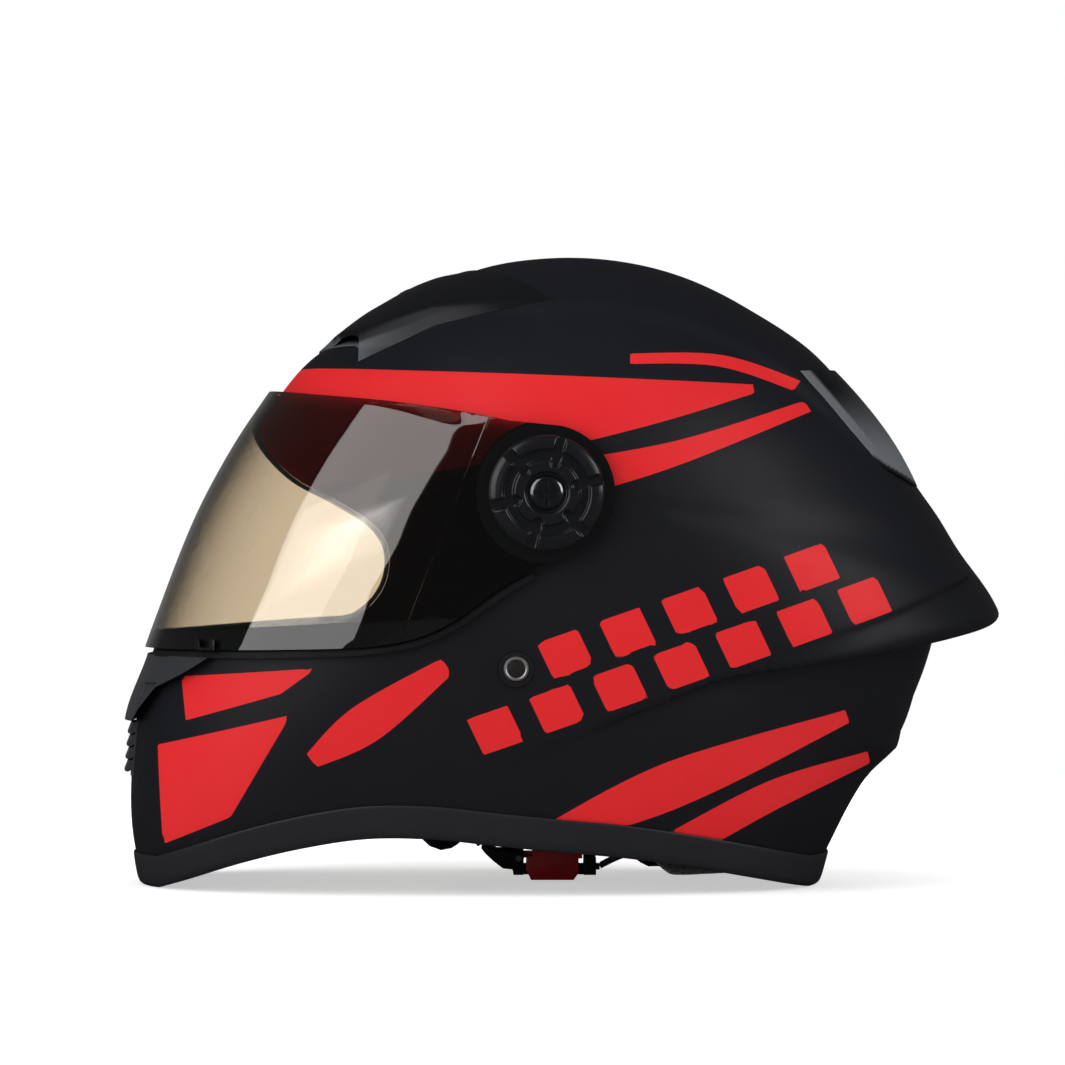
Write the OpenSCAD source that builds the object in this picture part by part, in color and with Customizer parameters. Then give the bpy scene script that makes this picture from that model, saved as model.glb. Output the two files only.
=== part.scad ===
// Full face helmet. The face looks along -Y, the wearer's left side is +X, and Z is up.
// The origin lies on the floor, under the middle of the helmet.

/* [Shell] */
// Half width of the shell at its flat pivot faces
side_x = 116; // [112:0.5:122]
// How far the crown of the side would pass beyond the flat pivot face
side_flat = 2.2; // [1.6:0.1:3]
// Squareness of the cross-section: 2 is round, larger is boxier
squareness = 2.3; // [2.1:0.05:2.5]
// Wall thickness of the shell
shell_t = 4; // [3:0.25:5]
// Height of the raised panel over the crown
crown_step = 2.6; // [0:0.2:4]
// Width of the soft step at the edge of the crown panel
crown_edge = 9; // [6:0.5:14]
// Height of the visor pivots above the floor
pivot_z = 155; // [150:0.5:160]
// Place of the visor pivots along the helmet
pivot_y = -6; // [-9:0.5:-3]

/* [Visor] */
// Thickness of the visor
visor_t = 2.2; // [1.8:0.1:3]
// Gap between the shell and the visor
visor_gap = 2.4; // [2.4:0.1:3.2]
// Radius of the visor's round ends at the pivots
ear_r = 26; // [24:0.5:28]

/* [Pivot] */
// Radius of the round pivot cover
cover_r = 22; // [21:0.25:23.5]
// Height of the pivot cover over its seat
cover_h = 5.1; // [4.5:0.1:6.5]
// Radius of the fixed plate under the visor
plate_r = 23.5; // [21:0.25:23.5]
// Thickness of the fixed plate
plate_t = 1.8; // [1.6:0.1:1.9]
// Radius of the boss that the visor turns on
boss_r = 11; // [9.5:0.1:11.5]
// Outer radius of the hub ring in the visor
hub_r = 16; // [14:0.1:16.4]
// Radius of the shank of the cover screw
screw_r = 2.5; // [2:0.05:3]
// Radius of the head of the cover screw
screw_head_r = 6.5; // [5.5:0.1:7]
// Radius of the circle that the two plate screws stand on
plate_screw_ring = 19; // [17:0.1:19.5]
// Radius of the shank of a plate screw
plate_screw_r = 1.25; // [1:0.05:1.5]

/* [Trim and gasket] */
// Height of the rubber trim around the bottom edge
trim_h = 13; // [11:0.5:15]
// Thickness of each lip of the trim outside the shell wall
trim_lip = 2; // [1.5:0.1:2.5]
// Thickness of the trim under the edge of the shell
trim_base = 4; // [3:0.25:5]
// Width of the eyeport gasket, seen from the side
gasket_w = 5; // [4:0.25:6]

/* [Padding] */
// Half width of the hollow in the foam liner
cavity_x = 86; // [82:0.5:90]
// Half length of the hollow in the foam liner
cavity_y = 98; // [94:0.5:102]
// Height of the hollow above its widest level
cavity_z = 92; // [88:0.5:96]
// Thickness of the crown pad
crown_pad_t = 9; // [6:0.5:11]
// Thickness of the chin foam
chin_foam_t = 22; // [16:0.5:24]
// Half width of the free space between the cheek pads
cheek_x = 62; // [58:0.5:68]
// Half width across the neck roll's section
roll_w = 8; // [6:0.25:9]
// Half height of the neck roll's section
roll_h = 8; // [6:0.25:9]

/* [Vents] */
// Height of the top vent cover over the shell at its front edge
top_vent_h = 6; // [5:0.25:7]
// Length of the top vent slider
slider_l = 12; // [10:0.5:13]
// Width of the top vent slider
slider_w = 24; // [18:0.5:28]
// Travel of the top vent slider
slider_travel = 8; // [5:0.5:9]
// Height of the rear exhaust cover over the shell
exhaust_h = 6; // [5:0.25:7]
// Half width of the chin vent opening
chin_vent_w = 27; // [22:0.5:30]
// Lowest level of the chin vent opening
chin_vent_z = 43; // [41:0.5:45]
// Height of the chin vent opening
chin_vent_h = 22; // [20:0.5:23]
// Thickness of the chin vent shutter
shutter_t = 2; // [1.6:0.1:2.4]
// Travel of the chin vent shutter, downwards
shutter_travel = 10; // [6:0.5:11]

/* [Straps and buckle] */
// Place of the strap rivet along the helmet
rivet_y = -17.6; // [-22:0.2:-14]
// Height of the strap rivet above the floor
rivet_z = 88; // [84:0.5:92]
// Radius of the rivet head
rivet_r = 5.2; // [4.5:0.1:5.8]
// Radius of the washer under the rivet head
washer_r = 6.9; // [6.2:0.1:7.6]
// Width of the chin straps
strap_w = 20; // [18:0.5:22]
// Thickness of the chin straps
strap_t = 1.8; // [1.4:0.1:2.2]
// Width of the buckle
buckle_w = 25; // [23:0.5:28]
// Height of the buckle
buckle_h = 13; // [12.5:0.5:14]
// Length of the buckle
buckle_l = 46; // [44:0.5:50]
// Width of the toothed tongue
tongue_w = 13; // [11:0.5:14]

/* [Hidden] */

fit = 0.05; // running clearance on a radius
slack = 0.3; // clearance around a piece that is only seated
big = 420; // longer than the helmet in any direction
shell_black = "#1d1f22";
plastic_black = "#17181a";
rubber_black = "#222326";
foam_black = "#2b2b2d";
cloth_black = "#242427";
livery_red = "#d8262b";
steel = "#b9bcc0";

// Outlines seen from the side are measured from the pivots, as pairs of Y and Z
function from_pivot(list) = [for (p = list) [pivot_y + p[0], pivot_z + p[1]]];

// The outline in the middle plane is measured from the pivots: 24 radii, 15 degrees apart,
// starting at the back and going over the crown to the face and under the chin.
outline_r = [144, 128.5, 117.5, 108.5, 102, 97.2, 94.5, 94, 94.2, 96.6, 108.2, 117,
  131.5, 154, 190, 225.5, 223, 218, 216, 207, 195, 174.6, 168, 162];
// Extra radius of the spoiler at the same angles
spoiler_r = [2, -4, -8, -8, -8, -8, -8, -8, -8, -8, -8, -8, -8, -8, -8, -8, -4, 1, 5, 12, 24, 38, 48, 25];
// Under edge of the spoiler, seen from the side
spoiler_edge = from_pivot([[-69, -122], [6, -95], [72, -71], [146, -59], [191, -50], [191, 145], [-69, 145]]);
// Half width of the crown panel along the outline: angle, half width
crown_half = [[5, 58], [30, 71], [60, 81], [90, 86], [116, 74], [145, 55]];
// Level of the bottom of the trim, every 25 mm from the chin to the neck
bottom_y0 = -200;
bottom_step = 25;
bottom_z = [-8, -5, 3, 11.5, 18, 22, 22, 19.5, 17, 14.5, 10.5, 5.5, -0.5, -7, -12, -16, -20];
// Eyeport, seen from the side
eyeport_side = from_pivot([[-194, 36], [-116, 32], [-110, 19], [-97, 6], [-80, -3], [-66, -12],
  [-60, -22], [-61, -34], [-68, -44], [-80, -50.5], [-99, -53.5], [-134, -55], [-194, -56]]);
// Visor, seen from the side, up to the round ear
visor_side = from_pivot([[-194, 55], [-108.8, 41.5], [-76, 37], [-44, 32.6]]);
visor_low = -60.5; // lower edge of the visor at the front, from the pivot
visor_low_z = pivot_z + visor_low;
visor_low_side = from_pivot([[-18, -36.5], [-40, -51.5], [-64, -58.2], [-104, -60], [-194, visor_low]]);
tab_y = -138; // place of the thumb tab

n_a = 60; // facets around the outline
n_v = 22; // facets from side to side

function wrap(i) = ((i % 24) + 24) % 24;
function ease(a, b, v) = let (t = min(1, max(0, (v - a) / (b - a)))) t * t * (3 - 2 * t);
// Cubic through four even values, between the second and the third
function cubic(p, t) = p[1] + 0.5 * t * (p[2] - p[0]
  + t * (2 * p[0] - 5 * p[1] + 4 * p[2] - p[3] + t * (3 * (p[1] - p[2]) + p[3] - p[0])));
function around(list, a) = let (s = a / 15, i = floor(s))
  cubic([for (k = [-1:2]) list[wrap(i + k)]], s - i);
function bottom(y) = let (s = (y - bottom_y0) / bottom_step, i = floor(s), last = len(bottom_z) - 1)
  cubic([for (k = [-1:2]) bottom_z[min(last, max(0, i + k))]], s - i);
// Depth of the shell beside the crown panel
function crown_drop(a, x) = let (half = lookup(a, crown_half))
  crown_step * ease(-6, 22, a) * (1 - ease(138, 156, a))
  * ease(half - crown_edge / 2, half + crown_edge / 2, abs(x));
// A point of the helmet's skin: a is the angle around the pivots, v goes from the left pivot
// at 0 to the right pivot at 180, off is the distance outwards and up adds to the radius.
function skin(a, v, off, up) =
  let (power = 2 / squareness, half = side_x + side_flat + off,
    x = half * sign(cos(v)) * pow(abs(cos(v)), power), top = side_x + off,
    r = pow(sin(v), power) * (around(outline_r, a) + off + up - crown_drop(a, x)))
  [max(-top, min(top, x)), pivot_y + r * cos(a), pivot_z + r * sin(a)];
// Angle of ring j, so that the first and last ring lie on the edge of the flat pivot face
function ring_v(j, off) = let (m = n_v / 2, k = min(j, n_v - j),
    edge = acos(pow((side_x + off) / (side_x + side_flat + off), squareness / 2)),
    v = edge + (90 - edge) * (k - 1) / (m - 1))
  j <= m ? v : 180 - v;
// Half width of the skin at a place seen from the side
function skin_x(y, z, off) =
  let (a = (atan2(z - pivot_z, y - pivot_y) + 360) % 360, r = norm([y - pivot_y, z - pivot_z]),
    share = min(1, r / (around(outline_r, a) + off)))
  min(side_x + off, (side_x + side_flat + off) * pow(1 - pow(share, squareness), 1 / squareness));

// Y of the skin at the back, in the middle plane at level z, by halving the angle's range
function skin_back(z, off, low = -90, high = 0, left = 20) = let (a = (low + high) / 2,
    r = around(outline_r, a + 360) + off)
  left == 0 ? pivot_y + r * cos(a)
  : pivot_z + r * sin(a) < z ? skin_back(z, off, a, high, left - 1) : skin_back(z, off, low, a, left - 1);

// Closed body inside the skin. rise(a) is the extra radius at each angle.
module dome(off, rise = function(a) 0) {
  points = concat(
    [for (j = [1:n_v - 1], i = [0:n_a - 1])
      let (a = 360 * i / n_a) skin(a, ring_v(j, off), off, rise(a))],
    [[side_x + off, pivot_y, pivot_z], [-side_x - off, pivot_y, pivot_z]]);
  last = (n_v - 1) * n_a;
  polyhedron(points, concat(
    [for (j = [0:n_v - 3], i = [0:n_a - 1])
      let (p = j * n_a + i, q = j * n_a + (i + 1) % n_a) each [[p, q, p + n_a], [q, q + n_a, p + n_a]]],
    [for (i = [0:n_a - 1]) [last, (i + 1) % n_a, i]],
    [for (i = [0:n_a - 1]) [last + 1, last - n_a + i, last - n_a + (i + 1) % n_a]]));
}

// Layer of the skin between two distances
module layer(outer, inner, rise = function(a) 0) {
  difference() {
    dome(outer, rise);
    dome(inner);
  }
}

// One closed mesh of everything inside, at its own size
module one_mesh() resize([0, 0, 0]) children();

// Shape seen from the side, carried across the helmet
module across(width = big) rotate([90, 0, 90]) linear_extrude(width, center = true) children();

// Round bar along X from x0 to x1
module bar(r, x0, x1, y = pivot_y, z = pivot_z, fn = 64)
  translate([x0, y, z]) rotate([0, 90, 0]) cylinder(r = r, h = x1 - x0, $fn = fn);

// Profile of radius and height turned around an axis along X, its base at x0
module turned(x0, y, z, profile) translate([x0, y, z]) rotate([0, 90, 0])
  rotate_extrude($fn = 96) polygon(profile);

module both_sides() {
  children();
  mirror([1, 0, 0]) children();
}

// Side view of everything above the bottom curve, raised by up
module above_bottom(up) {
  ys = [for (y = [bottom_y0:12.5:bottom_y0 + bottom_step * (len(bottom_z) - 1)]) y];
  polygon(concat([for (y = ys) [y, max(0, bottom(y)) + up]],
    [[ys[len(ys) - 1], big], [ys[0], big]]));
}

module eyeport(grow) offset(r = grow) polygon(eyeport_side);

rivet_stem_r = 2.4;
washer_t = 1.2;
rivet_x = skin_x(rivet_y, rivet_z, 0);
seat_x = rivet_x - 0.9; // floor of the spot face under a washer

module rivet_bore(r) both_sides() bar(r, rivet_x - 12, rivet_x + 4, rivet_y, rivet_z);

module outer_shell() color(shell_black) difference() {
  one_mesh() difference() {
    union() {
      dome(0);
      intersection() {
        dome(0, function(a) around(spoiler_r, a));
        across() polygon(spoiler_edge);
      }
    }
    dome(-shell_t);
    across() eyeport(0);
    difference() {
      cube(big * 2, center = true);
      across(big * 3) above_bottom(trim_base);
    }
    translate([-chin_vent_w, -big, chin_vent_z]) cube([2 * chin_vent_w, big - 100, chin_vent_h]);
  }
  both_sides() {
    bar(screw_r + fit, side_x - 10, side_x + 10);
    for (side = [-1, 1]) bar(plate_screw_r + fit, side_x - 10, side_x + 10,
      pivot_y, pivot_z + side * plate_screw_ring, 24);
    bar(washer_r + slack, seat_x, rivet_x + 10, rivet_y, rivet_z);
  }
  rivet_bore(rivet_stem_r + fit);
}

module bottom_trim() color(rubber_black) one_mesh() difference() {
  intersection() {
    layer(trim_lip, -shell_t - trim_lip);
    difference() {
      across() above_bottom(0);
      across(big * 2) above_bottom(trim_h);
    }
  }
  intersection() {
    layer(0.15, -shell_t - 0.15);
    across() above_bottom(trim_base - 0.15);
  }
}

module eyeport_gasket() color(rubber_black) one_mesh() intersection() {
  layer(1.2, -shell_t - 1.5);
  across() difference() {
    eyeport(-slack);
    eyeport(-slack - gasket_w);
  }
}

nut_r = 6;
nut_h = 3;
foam_off = -shell_t - 0.4; // outside of the foam
cavity_at = [0, 0, pivot_z - 35]; // widest level of the hollow for the head
relief_z = 108; // the foam ends above the strap anchors

module cavity(less) {
  translate(cavity_at) scale([cavity_x - less, cavity_y - less, cavity_z - less]) sphere(r = 1, $fn = 28);
}

module eps_liner() color(foam_black) difference() {
  one_mesh() difference() {
    intersection() {
      dome(foam_off);
      across() difference() {
        intersection() {
          polygon([[-150, 300], [150, 300], [150, 0], [30, 0], [26, relief_z], [-150, relief_z]]);
          above_bottom(max(trim_h, 2 * roll_h + 0.5) + slack);
        }
        eyeport(gasket_w + 3);
      }
    }
    cavity(0);
    translate([0, 0, cavity_at.z - big]) linear_extrude(big)
      scale([cavity_x, cavity_y]) circle(r = 1, $fn = 28);
  }
  both_sides() bar(nut_r + 1.5, side_x - shell_t - nut_h - 3, side_x);
}

shutter_y = -158; // inner face of the shutter
chin_foam_back = -90; // the chin foam ends there, before the cheek pads
chin_foam_top = 88; // and there, under the eyeport

module chin_foam() color(foam_black) one_mesh() difference() {
  intersection() {
    layer(foam_off, foam_off - chin_foam_t);
    across() difference() {
      intersection() {
        above_bottom(trim_h + slack);
        translate([-big, 0]) square([big + chin_foam_back, chin_foam_top]);
      }
      eyeport(gasket_w + 3);
    }
  }
  // pocket for the shutter, open to the duct
  translate([-chin_vent_w - 3, shutter_y + slack - 100, chin_vent_z - shutter_travel - 1.5])
    cube([2 * chin_vent_w + 6, 100, chin_vent_h + shutter_travel + 4]);
  translate([-chin_vent_w + 6, shutter_y - 20, chin_vent_z - 6])
    cube([2 * chin_vent_w - 12, 60, chin_vent_h + 2]);
}

module crown_pad() color(cloth_black) one_mesh() difference() {
  intersection() {
    cavity(slack);
    across() difference() {
      polygon([[-150, 300], [150, 300], [150, 78], [60, 78], [30, 124], [-50, 132], [-150, 160]]);
      eyeport(gasket_w + 6);
    }
  }
  cavity(slack + crown_pad_t);
  translate([0, 0, cavity_at.z - big]) linear_extrude(big)
    scale([cavity_x - slack - crown_pad_t, cavity_y - slack - crown_pad_t]) circle(r = 1, $fn = 28);
}

// Crowned pad between the shell and the cheek
pad_at = [cheek_x + 42, -34, 70];
module cheek_pad() one_mesh() intersection() {
  dome(-shell_t - 10);
  translate(pad_at) scale([42, 52, 46]) sphere(r = 1, $fn = 36);
  translate([0, 0, relief_z - slack - big / 2]) cube(big, center = true);
}
module cheek_pad_left() color(cloth_black) cheek_pad();
module cheek_pad_right() color(cloth_black) mirror([1, 0, 0]) cheek_pad();

// Closed tube through rings of points, all rings the same length
module tube(rings) {
  n = len(rings);
  m = len(rings[0]);
  points = [for (ring = rings) each ring];
  polyhedron(points, concat(
    [for (i = [0:n - 2], j = [0:m - 1])
      let (p = i * m + j, q = i * m + (j + 1) % m) each [[p, p + m, q], [q, p + m, q + m]]],
    [for (j = [1:m - 2]) [0, j, j + 1]],
    [for (j = [1:m - 2]) let (e = (n - 1) * m) [e, e + j + 1, e + j]]));
}

roll_rest = roll_h + 0.5; // lowest level of the neck roll's middle line
roll_gap_side = 9; // between the roll and the shell beside it
roll_gap_back = 4; // and behind it
roll_start = 20; // there its middle line is widest
roll_side = skin_x(roll_start, bottom(roll_start) + roll_h, -shell_t) - roll_gap_side - roll_w;
roll_back = skin_back(roll_rest, -shell_t) - roll_gap_back - roll_w;
roll_steps = 28;
roll_hang = 5.2; // how far the roll hangs out under the trim behind the ears
roll_from = 34; // it leaves the trim there
roll_to = 74; // and is back there
function roll_drop(y) =
  max(0, min((y - roll_from) * 0.8, roll_hang * (roll_to - y) / (roll_to - roll_from - 6)));
module neck_roll() color(cloth_black) tube([for (i = [0:roll_steps])
  let (f = -84 + 168 * i / roll_steps, x = roll_side * sign(f) * pow(abs(sin(f)), 0.8),
    y = roll_back * pow(cos(f), 0.8), out = unit([x / pow(roll_side, 2), y / pow(roll_back, 2), 0]),
    end = 0.55 + 0.45 * sqrt(1 - pow(2 * i / roll_steps - 1, 8)))
  [for (j = [0:11]) [x, y, max(roll_rest, bottom(y) + roll_h - roll_drop(y))]
    + end * (out * roll_w * cos(30 * j) + [0, 0, roll_h * sin(30 * j)])]]);

function unit(v) = v / norm(v);

// Visor pivots
plate_x = side_x + plate_t; // outer face of the plate
lens_in = side_x + visor_gap;
lens_out = lens_in + visor_t;
seat_cover = lens_out + 1.3; // outer end of the boss, where the cover sits

module pivot_plate() difference() {
  union() {
    bar(plate_r, side_x, plate_x);
    bar(boss_r, side_x, seat_cover, fn = 96);
  }
  bar(screw_r + fit, side_x - 1, seat_cover + 1);
  for (side = [-1, 1]) {
    bar(plate_screw_r + fit, side_x - 1, plate_x + 1, pivot_y, pivot_z + side * plate_screw_ring, 24);
    bar(2 * plate_screw_r + fit, plate_x - 1, plate_x + 1, pivot_y,
      pivot_z + side * plate_screw_ring, 24);
  }
}
module pivot_plate_left() color(plastic_black) pivot_plate();
module pivot_plate_right() color(plastic_black) mirror([1, 0, 0]) pivot_plate();

module plate_screws() color(steel) both_sides() for (side = [-1, 1]) {
  z = pivot_z + side * plate_screw_ring;
  bar(plate_screw_r, side_x - shell_t + 0.5, plate_x - 0.9, pivot_y, z, 24);
  bar(2 * plate_screw_r, plate_x - 1 + fit, plate_x - 0.1, pivot_y, z, 24);
}

module cover_nuts() color(steel) both_sides() difference() {
  bar(nut_r, side_x - shell_t - nut_h, side_x - shell_t, fn = 6);
  bar(screw_r, side_x - 20, side_x + 1);
}

module visor_hub() difference() {
  union() {
    bar(hub_r, lens_in - 0.2, lens_out + 0.1, fn = 96);
    bar(hub_r + 3, lens_out + 0.1, lens_out + 0.9, fn = 96);
  }
  bar(boss_r + fit, side_x, side_x + 20, fn = 96);
}
module visor_hub_left() color(plastic_black) visor_hub();
module visor_hub_right() color(plastic_black) mirror([1, 0, 0]) visor_hub();

module visor_outline() union() {
  polygon(concat(visor_side, [[pivot_y + 3, pivot_z + ear_r - 0.2], [pivot_y + 10, pivot_z - ear_r + 2]],
    visor_low_side));
  translate([pivot_y, pivot_z]) circle(r = ear_r, $fn = 48);
}

module visor_lens() color([0.45, 0.36, 0.25, 0.6]) one_mesh() difference() {
  union() {
    intersection() {
      layer(visor_gap + visor_t, visor_gap);
      across() visor_outline();
    }
    // tab for the thumb, near the lower edge on the left
    intersection() {
      layer(visor_gap + visor_t + 3, visor_gap + visor_t - 1);
      translate([0, tab_y - 4, visor_low_z]) cube([big, 8, 4.5]);
    }
  }
  both_sides() bar(hub_r + 0.15, side_x - 20, side_x + 20);
}

// Round cover: rim, groove, inner ring and a recess for the screw head
groove_r = cover_r - 5.5;
ring_r = cover_r - 9.5;
recess_r = screw_head_r + 1.4;
module pivot_cover() difference() {
  turned(seat_cover, pivot_y, pivot_z, [[0, 0], [hub_r + 3.6, 0], [hub_r + 4, -0.7],
    [cover_r - 0.8, -0.7], [cover_r, 0.2], [cover_r, cover_h - 2.4], [cover_r - 1.4, cover_h - 0.9],
    [groove_r + 1, cover_h], [groove_r, cover_h - 0.4], [groove_r - 0.3, cover_h - 1.7],
    [ring_r + 0.5, cover_h - 1.5], [ring_r, cover_h - 0.3], [ring_r - 1, cover_h - 0.1],
    [recess_r + 0.6, cover_h - 0.4], [recess_r, cover_h - 1], [recess_r, cover_h - 2.6],
    [0, cover_h - 2.6]]);
  bar(screw_r + fit, seat_cover - 1, seat_cover + cover_h);
  for (k = [0:5]) rotate_pivot(14 + 60 * k)
    bar(1.6, seat_cover + cover_h - 1.1, seat_cover + cover_h + 1, pivot_y + groove_r, pivot_z, 24);
}
module rotate_pivot(angle) translate([0, pivot_y, pivot_z]) rotate([angle, 0, 0])
  translate([0, -pivot_y, -pivot_z]) children();
module pivot_cover_left() color("#0c0d0e") pivot_cover();
module pivot_cover_right() color("#0c0d0e") mirror([1, 0, 0]) pivot_cover();

module cover_screws() color("#3a3c40") both_sides() {
  head = seat_cover + cover_h - 2.6;
  bar(screw_r, side_x - shell_t - nut_h, head);
  difference() {
    turned(head, pivot_y, pivot_z, [[0, 0], [screw_head_r, 0], [screw_head_r, 0.7],
      [screw_head_r - 1, 1.4], [screw_head_r - 3, 1.8], [0, 2]]);
    for (turn = [0, 90]) translate([head + 1.5, pivot_y, pivot_z]) rotate([turn, 0, 0])
      cube([2, 1.3, 6.5], center = true);
  }
}

// Top vent, a cover that stands over the shell behind the visor
vent_side = from_pivot([[-119, 59], [-93, 54.5], [-73.4, 51.4], [-66.9, 54.6], [-43.8, 65.2],
  [-16, 71.6], [4, 75.6], [18, 125], [-119, 125]]);
slider_a = 125; // angle of the slider on the outline
slider_up = 1.4; // height of the slider's ridge over the cover
vent_tail = 60; // half width of the cover at its two tails
vent_notch = -42; // the space between the tails starts there
vent_end = -4; // and the tails end there
function vent_rise(a) = top_vent_h * ease(92, 138, a);
slider_from = skin(slider_a + 3, 90, 0, vent_rise(slider_a + 3));
vent_duct_w = 92; // width of the duct under the top vent cover
vent_duct_end = -78; // and how far back it goes
slider_to = skin(slider_a - 3, 90, 0, vent_rise(slider_a - 3));
slider_slope = atan2(slider_to.z - slider_from.z, slider_to.y - slider_from.y);
slider_at = (slider_from + slider_to) / 2;
slider_depth = 1.5; // depth of the track in the cover
module on_slider() translate(slider_at) rotate([slider_slope, 0, 0]) children();

module top_vent_cover() color(plastic_black) difference() {
  one_mesh() difference() {
    intersection() {
      layer(0, slack, function(a) slack + vent_rise(a));
      across() polygon(vent_side);
    }
    // space between the two tails
    linear_extrude(big) polygon(concat([for (i = [-8:8])
      [vent_tail * i / 8, vent_notch + (vent_end - vent_notch) * pow(abs(i / 8), 1.6)]],
      [[vent_tail, big], [-vent_tail, big]]));
    // duct behind the inlet
    intersection() {
      layer(0, -1, function(a) vent_rise(a) - 2);
      translate([-vent_duct_w / 2, vent_duct_end - big, 0]) cube([vent_duct_w, big, big]);
    }
  }
  on_slider() translate([-slider_w / 2 - fit, -slider_l / 2 - 0.5, -slider_depth])
    cube([slider_w + 2 * fit, slider_l + slider_travel + 1, 10]);
}

module top_vent_slider() color("#0c0d0e") on_slider() {
  translate([-slider_w / 2, -slider_l / 2, fit - slider_depth]) cube([slider_w, slider_l, 2]);
  intersection() {
    translate([-slider_w / 2 + 3, 0, slider_up - 3]) rotate([0, 90, 0])
      cylinder(r = 3, h = slider_w - 6, $fn = 48);
    translate([-slider_w / 2, -slider_l / 2, fit - slider_depth]) cube([slider_w, slider_l, 8]);
  }
}

// Rear exhaust, a cover with its mouth at the lower end
exhaust_side = from_pivot([[99, 48], [118, 49.5], [186, 57], [186, 2], [146, 3.5], [133, 10], [128.5, 13]]);
exhaust_duct_w = 84; // width of the duct under the rear exhaust cover
exhaust_duct_from = 104;
exhaust_duct_top = pivot_z + 37;
function exhaust_rise(a) = exhaust_h * (0.22 + 0.78 * ease(34, 8, a > 180 ? a - 360 : a));
module rear_exhaust_cover() color("#0c0d0e") one_mesh() difference() {
  intersection() {
    layer(0, slack, function(a) slack + exhaust_rise(a));
    across() polygon(exhaust_side);
  }
  intersection() {
    layer(0, -1, function(a) exhaust_rise(a) - 2.2);
    translate([-exhaust_duct_w / 2, exhaust_duct_from, 0]) cube([exhaust_duct_w, big, exhaust_duct_top]);
  }
}

// Chin vent
hood_side = [[-200, 92], [-137, 91.6], [-140, 89.5], [-147.6, 85], [-159, 79.4], [-166.5, 70.5],
  [-169.6, 65.6], [-175, 65.6], [-200, 62]];
function hood_rise(a) = 2.2 + 3.4 * ease(202, 208, a);
module chin_vent_hood() color(plastic_black) one_mesh() intersection() {
  layer(0, slack, function(a) a > 170 && a < 250 ? hood_rise(a) : 1);
  across() polygon(hood_side);
}

slats = 4;
slat_pitch = (chin_vent_h - 2) / slats;
module chin_vent_grille() color(plastic_black) one_mesh() union() {
  // frame in the opening of the shell
  intersection() {
    layer(0.4, -shell_t);
    translate([-chin_vent_w + slack, -big, chin_vent_z + slack]) difference() {
      cube([2 * (chin_vent_w - slack), big + shutter_y, chin_vent_h - 2 * slack]);
      translate([3, -1, 2]) cube([2 * (chin_vent_w - slack) - 6, big, chin_vent_h - 2 * slack - 4]);
    }
  }
  intersection() {
    layer(3.4, -shell_t);
    translate([0, 0, chin_vent_z + slack + (chin_vent_h - 2 * slack) / 2])
      cube([big, big * 2, chin_vent_h - 2 * slack], center = true);
    across(2 * (chin_vent_w - slack) - 2) for (i = [0:slats - 1]) let (z = chin_vent_z + 4.6 + slat_pitch * i)
      polygon([[-150, z + 4], [-150, z + 2], [-165, z + 1], [-180, z - 3.2], [-180, z - 1.2], [-167, z + 3]]);
  }
}

module chin_vent_shutter() color(plastic_black) union() {
  translate([-chin_vent_w - 1, shutter_y - shutter_t, chin_vent_z - 0.5])
    cube([2 * chin_vent_w + 2, shutter_t, chin_vent_h + 1]);
  translate([-6, shutter_y - 0.5, chin_vent_z + 7]) cube([12, 9, 3]);
}

// Strap rivets through the shell
anchor_x = skin_x(rivet_y - strap_w / 2 - 3, rivet_z - 28, -shell_t) - 0.5;
anchor_t = 1.6;
module strap_rivets() color(steel) both_sides() {
  difference() {
    turned(seat_x + washer_t, rivet_y, rivet_z, [[0, 0], [rivet_r, 0], [rivet_r, 0.8],
      [rivet_r - 0.8, 1.7], [rivet_r - 1.2, 1.7], [rivet_r - 1.4, 0.9], [0, 0.6]]);
  }
  bar(rivet_stem_r, anchor_x - anchor_t - 1, seat_x + washer_t + 0.3, rivet_y, rivet_z);
}
module rivet_washers() color(plastic_black) both_sides() difference() {
  bar(washer_r, seat_x, seat_x + washer_t, rivet_y, rivet_z);
  bar(rivet_stem_r + fit, seat_x - 1, seat_x + 5, rivet_y, rivet_z);
}
module strap_anchor_plates() color(steel) both_sides() difference() {
  translate([anchor_x - anchor_t, rivet_y, 0]) rotate([90, 0, 90]) linear_extrude(anchor_t) union() {
    translate([0, rivet_z]) circle(r = 9, $fn = 48);
    translate([-strap_w / 2 - 3, rivet_z - 28]) square([strap_w + 6, 20]);
  }
  bar(rivet_stem_r + fit, anchor_x - 5, anchor_x + 5, rivet_y, rivet_z);
  translate([anchor_x - 5, rivet_y - strap_w / 2 - 0.5, rivet_z - 24]) cube([10, strap_w + 1, strap_t + 1]);
}

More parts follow.
